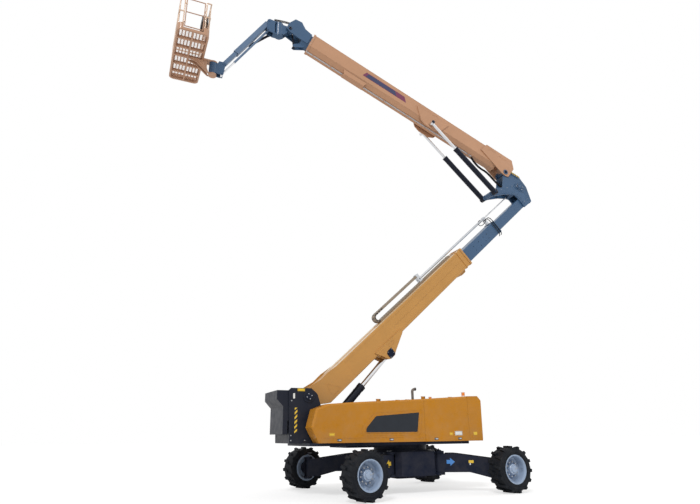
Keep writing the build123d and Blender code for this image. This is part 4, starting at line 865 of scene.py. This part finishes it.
# ---------------- upper boom
def dress_upper_boom():
    """Seams, stripe, hose guard and pipes of the upper boom."""
    for flank, y_side in FLANKS:
        mesh = bmesh.new()
        for face, line, width, thick in (
                (UPPER_LUG_FACE, [(0.62, 0.56), (0.86, 0.56), (0.94, 0.44)], 0.014, 0.004),
                (UPPER_LUG_FACE, [(0.06, 0.50), (0.44, 0.50), (0.50, 0.42)], 0.014, 0.004),
                (UPPER_FACE, [(3.15, 0.42), (3.28, 0.52), (3.46, 0.46)], 0.012, 0.004),
                (UPPER_FACE, [(1.24, 0.30), (1.07, 0.64)], 0.010, 0.004),
                (UPPER_FACE, [(1.20, 0.08), (8.42, 0.08)], 0.004, 0.0015),
                (UPPER_FACE, [(1.20, 0.60), (8.42, 0.60)], 0.004, 0.0015)):
            weld(mesh, UPPER, y_side, face, line, width, thick)
        finish_piece(mesh, f"upper_welds_{flank}", "upper", "upper_boom")
        # end plate's bolt heads
        mesh = bmesh.new()
        spots = [(s, n) for s in (8.455, 8.485) for n in (0.16, 0.26, 0.44, 0.54)]
        add_bolts(mesh, arm_side(UPPER, y_side, UPPER_FACE + 0.014), spots, 0.008, UPPER.flip(y_side))
        finish_piece(mesh, f"upper_end_bolts_{flank}", "steel", "upper_boom")
        mesh = bmesh.new()
        eye = UPPER.at(3.42, -0.02, y_side * 0.443)
        ring = side_basis(eye, y_side)
        add_turned(mesh, ring, [(0.062, 0), (0.062, 0.010), (0.052, 0.016), (0.02, 0.016)], 30)
        bolt_ring(mesh, moved(ring, z=0.016), 0.038, 4, 0.009, 0.7, 1)
        finish_piece(mesh, f"twin_eye_cover_{flank}", ("navy", "steel"), "twin_rods")
        # stripe along the side, bare of any lettering
        mesh = bmesh.new()
        side_face = arm_side(UPPER, y_side, UPPER_FACE)
        stripe = arm_points(UPPER, [(4.56, 0.25), (4.70, 0.46), (6.30, 0.46), (6.40, 0.25)], y_side)
        add_prism(mesh, side_face, stripe, LABEL)
        core = arm_points(UPPER, [(4.98, 0.272), (5.10, 0.438), (6.20, 0.438), (6.28, 0.272)], y_side)
        add_prism(mesh, moved(side_face, z=LABEL), core, 0.0006, material=1)
        finish_piece(mesh, f"stripe_{flank}", ("plum", "stripe_navy"), "upper_boom")
    # box that guards the hoses under the boom, and the pipes along it
    mesh = bmesh.new()
    guard = arm_side(UPPER, -1, 0.20)
    add_prism(mesh, guard, arm_points(UPPER, [(6.20, -0.16), (6.14, 0.02), (7.06, 0.02), (7.0, -0.16)], -1),
              0.010, 0.003)
    add_box(mesh, basis(UPPER.at(6.60, -0.165, -0.10), UPPER.along, ACROSS), (0.84, 0.21, 0.008), 0.002)
    for s in (6.17, 7.03):
        add_box(mesh, basis(UPPER.at(s, -0.075, -0.10), UPPER.up, ACROSS), (0.17, 0.20, 0.008), 0.002)
    finish_piece(mesh, "hose_guard", "upper", "upper_boom")
    for k, y in enumerate((-0.075, -0.045)):
        line = [UPPER.at(s, -0.085, y) for s in (1.45, 3.0, 4.5, 6.16)]
        tube(f"under_pipe_{k}", line, 0.009, "zinc", "upper_boom")
        line = [UPPER.at(s, -0.085, y) for s in (7.0, 7.8, 8.40)]
        line += [UPPER.at(8.46, -0.10, y - 0.01), UPPER.at(8.47, -0.06, y - 0.05)]
        tube(f"under_pipe_end_{k}", line, 0.009, "zinc", "upper_boom")
    clamps("under_clamps", UPPER, (1.6, 2.4, 4.35, 5.3, 7.5, 8.2), -0.078, -0.06, "upper_boom",
           (0.035, 0.045, 0.075), "upper")


dress_upper_boom()


# ---------------- knuckle
def dress_knuckle():
    """Stripes, boss, bolts and hoses of the knuckle."""
    for flank, y_side in FLANKS:
        flip = LOWER.flip(y_side)
        place = arm_side(LOWER, y_side, KNUCKLE_FACE)
        edge_line = [(11.745, 0.42), (11.69, 0.64), (11.56, 0.80), (11.43, 0.93)]
        middle = ((edge_line[0][0] + edge_line[2][0]) / 2, (edge_line[0][1] + edge_line[2][1]) / 2)
        run = Vector((edge_line[2][0] - edge_line[0][0], flip * (edge_line[2][1] - edge_line[0][1]), 0))
        turn = atan2(run.y, run.x) - pi / 2
        spot = moved(place, middle[0] - 0.045, flip * middle[1]) @ Matrix.Rotation(turn, 4, "Z")
        hazard(f"knuckle_stripes_{flank}", spot, 0.055, 0.40, "lower_tip", 0.09)
        mesh = bmesh.new()
        boss = moved(place, 11.40, flip * 0.16) @ Matrix.Rotation(turn, 4, "Z")
        add_ring(mesh, boss, rounded(0.20, 0.40, 0.099, 8), rounded(0.16, 0.36, 0.079, 8), 0.012)
        add_turned(mesh, moved(boss, 0, 0.02), [(0.060, 0), (0.060, 0.014), (0.05, 0.02), (0.02, 0.02)], 28)
        spots = ((-0.055, 0.12), (0.055, 0.12), (-0.055, -0.12), (0.055, -0.12))
        add_bolts(mesh, boss, spots, 0.014, material=1)
        spots = ((10.55, 0.56), (10.85, 0.46), (11.1, 0.38), (11.12, -0.35), (11.3, -0.35))
        add_bolts(mesh, place, spots, 0.012, flip, 1)
        weld(mesh, LOWER, y_side, KNUCKLE_FACE, [(11.06, -0.45), (11.06, 0.02), (10.72, 0.33), (10.18, 0.57)],
             0.016, 0.006)
        weld(mesh, LOWER, y_side, KNUCKLE_FACE, [(11.40, -0.45), (11.64, -0.02), (11.66, 0.30)], 0.016, 0.006)
        finish_piece(mesh, f"knuckle_details_{flank}", ("slate", "steel"), "lower_tip")
        disc_cover(f"upper_pin_cover_{flank}", LOWER.at(11.31, 0.93, y_side * 0.262), y_side, 0.055, 0.014,
                   "navy", "lower_tip", 0)
        disc_cover(f"twin_base_cover_{flank}", LOWER.at(10.12, 0.66, y_side * 0.455), y_side, 0.044, 0.012,
                   "navy", "lower_tip", 3, 0.007)
    # hoses that arch from the knuckle to the upper boom's foot
    knee = [LOWER.at(10.98, 0.30, -0.05), LOWER.at(10.86, 0.62, -0.06), LOWER.at(10.80, 0.92, -0.06),
            UPPER.at(0.62, -0.30, -0.06), UPPER.at(0.95, -0.32, -0.06), UPPER.at(1.25, -0.22, -0.06),
            UPPER.at(1.42, -0.09, -0.06)]
    for k in range(3):
        tube(f"knee_hose_{k}", [p + ACROSS * HOSE_PITCH * k for p in knee], 0.013, "hose", "lower_tip")


dress_knuckle()


# ---------------- platform and jib
def dress_platform():
    """Deck mesh, tape, rail joints and controls of the platform."""
    low, high = (Vector(corner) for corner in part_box("platform_floor"))
    middle = (low + high) / 2
    deck = 12.5  # top of the platform's floor
    mesh = bmesh.new()
    # woven mesh over the openings of the deck
    x0, x1 = low.x + 0.055, high.x - 0.055
    y0, y1 = low.y + 0.055, high.y - 0.055
    across, along = 22, 56
    for k in range(across + 1):
        x = x0 + (x1 - x0) * k / across
        rod = basis(Vector((x, middle.y, deck - 0.0065)), (0, 1, 0), (1, 0, 0))
        add_box(mesh, rod, (y1 - y0, 0.004, 0.003))
    for k in range(along + 1):
        add_box(mesh, level_at(middle.x, y0 + (y1 - y0) * k / along, deck - 0.0065), (x1 - x0, 0.004, 0.003))
    finish_piece(mesh, "deck_mesh", "basket", "platform")
    # tape on the near corners of the toe board
    for index, x in enumerate((low.x, high.x)):
        outward = -1 if index == 0 else 1
        hazard(f"corner_tape_{index}", basis(Vector((x, low.y + 0.26, deck + 0.072)), (0, outward, 0),
                                             (0, 0, 1)), 0.20, 0.11, "platform", 0.06)
    # rail joints
    box_low, box_high = (Vector(corner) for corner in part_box("platform_rails"))
    mesh = bmesh.new()
    for x in (box_low.x + 0.019, box_high.x - 0.019):
        for y in (box_low.y + 0.16, -0.40, 0.40, box_high.y - 0.16):
            foot = level_at(x, y, deck - 0.004)
            add_turned(mesh, foot, [(0.027, 0), (0.027, 0.010), (0.0215, 0.016), (0.0205, 0.03)], 20)
            for z in (deck + 0.57, deck + 1.081):
                add_turned(mesh, level_at(x, y, z - 0.028), [(0.0205, 0), (0.022, 0.006), (0.0205, 0.012)],
                           18)
    finish_piece(mesh, "rail_joints", "basket_pale", "platform")
    # control box: lid, stick and knobs
    c_low, c_high = (Vector(corner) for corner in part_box("control_box"))
    top = Vector((c_low.x + 0.085, (c_low.y + c_high.y) / 2, deck + 1.01))
    mesh = bmesh.new()
    cover = basis(top + Vector((0, 0, 0.001)), (0, 1, 0), (-1, 0, 0))
    add_prism(mesh, cover, rounded(0.44, 0.13, 0.02), 0.006, 0.002)
    for y in (-0.15, 0.15):
        stick = moved(cover, y, 0, 0.006)
        add_turned(mesh, stick, [(0.030, 0), (0.026, 0.012), (0.014, 0.022), (0.009, 0.03), (0.009, 0.055),
                                 (0.016, 0.065), (0.018, 0.085), (0.012, 0.098)], 20, 1)
    for k in range(6):
        add_turned(mesh, moved(cover, -0.075 + 0.03 * k, 0.02, 0.006),
                   [(0.008, 0), (0.007, 0.006), (0.003, 0.02)], 12, 2)
    stop = [(0.018, 0), (0.018, 0.006), (0.021, 0.012), (0.021, 0.022), (0.014, 0.027)]
    add_turned(mesh, moved(cover, 0, -0.035, 0.006), stop, 20, 3)
    finish_piece(mesh, "controls", ("dark_panel", "black", "zinc", "red"), "platform")
    # panel under the control box and its hood
    mesh = bmesh.new()
    x = c_high.x - 0.055
    panel = basis(Vector((x, -0.50, deck + 0.46)), (0, 1, 0), UP)
    add_prism(mesh, panel, soften([(-0.24, -0.30), (0.24, -0.30), (0.24, 0.30), (-0.24, 0.30)], 0.05), 0.006,
              0.002)
    door = soften([(-0.19, -0.22), (0.19, -0.22), (0.19, 0.20), (-0.19, 0.20)], 0.04)
    add_prism(mesh, moved(panel, z=0.006), door, 0.004, 0.0015)
    finish_piece(mesh, "control_panel", "basket", "platform")


def dress_jib():
    """Covers and bolts at the head and the jib, with the hoses over the head."""
    for flank, y_side in FLANKS:
        disc_cover(f"head_pin_cover_{flank}", UPPER.at(9.30, 0.30, y_side * 0.190), y_side, 0.060, 0.014,
                   "navy", "upper_tip", 4, 0.009)
    mesh = bmesh.new()
    for y_side in (-1, 1):
        spots = ((1.80, -0.045), (1.80, 0.045), (1.87, -0.045), (1.87, 0.045))
        add_bolts(mesh, arm_side(JIB, y_side, JIB_FACE), spots, 0.008, JIB.flip(y_side))
    finish_piece(mesh, "jib_bolts", "steel", "jib")
    # hoses over the head and down the jib
    for k in range(3):
        line = [UPPER.at(s, n, -0.05 + HOSE_PITCH * k) for s, n in
                ((8.55, 0.55), (8.95, 0.72), (9.35, 0.66), (9.70, 0.50), (9.9, 0.38))]
        tube(f"head_hose_{k}", line, 0.011, "hose", "upper_tip")
    # rotator's bolt circles
    mesh = bmesh.new()
    top = level_at(SLEW.x - 4.0, 0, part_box("head_bracket")[1][2])
    add_turned(mesh, top, [(0.115, -0.002), (0.115, 0.012), (0.10, 0.018), (0.04, 0.018)], 36)
    bolt_ring(mesh, moved(top, z=0.018), 0.082, 10, 0.009, 0, 1)
    finish_piece(mesh, "rotator_cap", ("slate", "steel"), "head")


dress_platform()
dress_jib()


# ---------------- cable chain
def dress_chain():
    """Link plates and cross bars round the cable chain, its loop in black."""
    pitch, loop_s, loop_n, middle_r = 0.105, 3.35, 0.18, 0.1175
    links = [(6.84 - k * pitch, loop_n - middle_r, -1.0, 0.0, 0) for k in range(33)]
    for k in range(4):
        turn = radians(-67.5 + 45 * k)
        links.append((loop_s - middle_r * cos(turn), loop_n + middle_r * sin(turn), sin(turn),
                      cos(turn), 1))
    links += [(3.39 + k * pitch, loop_n + middle_r, 1.0, 0.0, 0 if k > 2 else 1) for k in range(19)]
    mesh = bmesh.new()
    for s, n, run, rise, slot in links:
        ahead = LOWER.along * run + LOWER.up * rise
        place = basis(LOWER.at(s, n, 0), ahead, ACROSS.cross(ahead))
        add_box(mesh, place, (0.080, 0.048, 0.178), 0.004, slot)
        add_box(mesh, place, (0.026, 0.073, 0.150), 0.003, slot)
    finish_piece(mesh, "chain_links", ("chain", "black"), "lower_boom")


dress_chain()


# ---------------- camera, light and floor
def make_camera():
    """Low viewpoint on the near side of the front wheels."""
    eye = SLEW + Vector((-7.61, -14.14, 0))
    eye.z = 1.43
    heading, pitch, roll = radians(-23.5), radians(19.8), radians(0.7)
    level = Vector((-sin(heading), cos(heading), 0))
    ahead = level * cos(pitch) + UP * sin(pitch)
    right = level.cross(UP).normalized()
    above = right.cross(ahead)
    right, above = (right * cos(roll) - above * sin(roll), right * sin(roll) + above * cos(roll))
    data = bpy.data.cameras.new("camera")
    data.sensor_width = 36.0
    data.lens = 27.15
    data.shift_y = -0.0086
    data.clip_end = 200
    camera = linked("camera", data)
    camera.matrix_world = axes(eye, right, above, -ahead)
    bpy.context.scene.camera = camera


def make_light():
    """Plain white surroundings and two soft suns."""
    scene = bpy.context.scene
    scene.view_settings.view_transform = "Standard"
    world = bpy.data.worlds.new("studio")
    scene.world = world
    world.use_nodes = True
    tree = world.node_tree
    tree.nodes.clear()
    path = tree.nodes.new("ShaderNodeLightPath")
    mix = tree.nodes.new("ShaderNodeMixShader")
    # softer for light that falls on the machine than for what is seen, mirrored or seen through glass
    for slot, strength in ((1, 0.62), (2, 1.0)):
        sky = tree.nodes.new("ShaderNodeBackground")
        sky.inputs["Color"].default_value = (1, 1, 1, 1)
        sky.inputs["Strength"].default_value = strength
        tree.links.new(sky.outputs[0], mix.inputs[slot])
    seen = path.outputs["Is Camera Ray"]
    for ray in ("Is Glossy Ray", "Is Transmission Ray"):
        either = tree.nodes.new("ShaderNodeMath")
        either.operation = "MAXIMUM"
        tree.links.new(seen, either.inputs[0])
        tree.links.new(path.outputs[ray], either.inputs[1])
        seen = either.outputs[0]
    tree.links.new(seen, mix.inputs[0])
    tree.links.new(mix.outputs[0], tree.nodes.new("ShaderNodeOutputWorld").inputs[0])
    for name, angles, strength, spread in (("key", (48, 0, -38), 1.5, 12), ("fill", (62, 0, 75), 0.35, 40)):
        data = bpy.data.lights.new(name, "SUN")
        data.energy = strength
        data.angle = radians(spread)
        linked(name, data).rotation_euler = [radians(a) for a in angles]


def make_floor():
    """Pale floor that fades into the white background but keeps the shadow."""
    m = Nodes("floor")
    m.put(Base_Color=(0.86, 0.86, 0.86, 1), Roughness=0.9, Specular_IOR_Level=0.0)
    white = m.add("Emission", {"Color": (1, 1, 1, 1), "Strength": 0.62})
    lit = m.add("BsdfDiffuse", {"Color": (0.46, 0.46, 0.46, 1)})
    both = m.add("AddShader", {0: white.outputs[0], 1: lit.outputs[0]})
    path = m.add("LightPath")
    mix = m.add("MixShader", {0: path.outputs["Is Camera Ray"], 1: m.shader.outputs[0],
                                        2: both.outputs[0]})
    m.tree.links.new(mix.outputs[0], m.tree.nodes["Material Output"].inputs[0])
    mesh = bmesh.new()
    bmesh.ops.create_grid(mesh, x_segments=1, y_segments=1, size=150)
    data = bpy.data.meshes.new("floor")
    mesh.to_mesh(data)
    mesh.free()
    data.materials.append(m.material)
    floor = linked("floor", data)
    floor.location.z = -0.002


make_camera()
make_light()
make_floor()
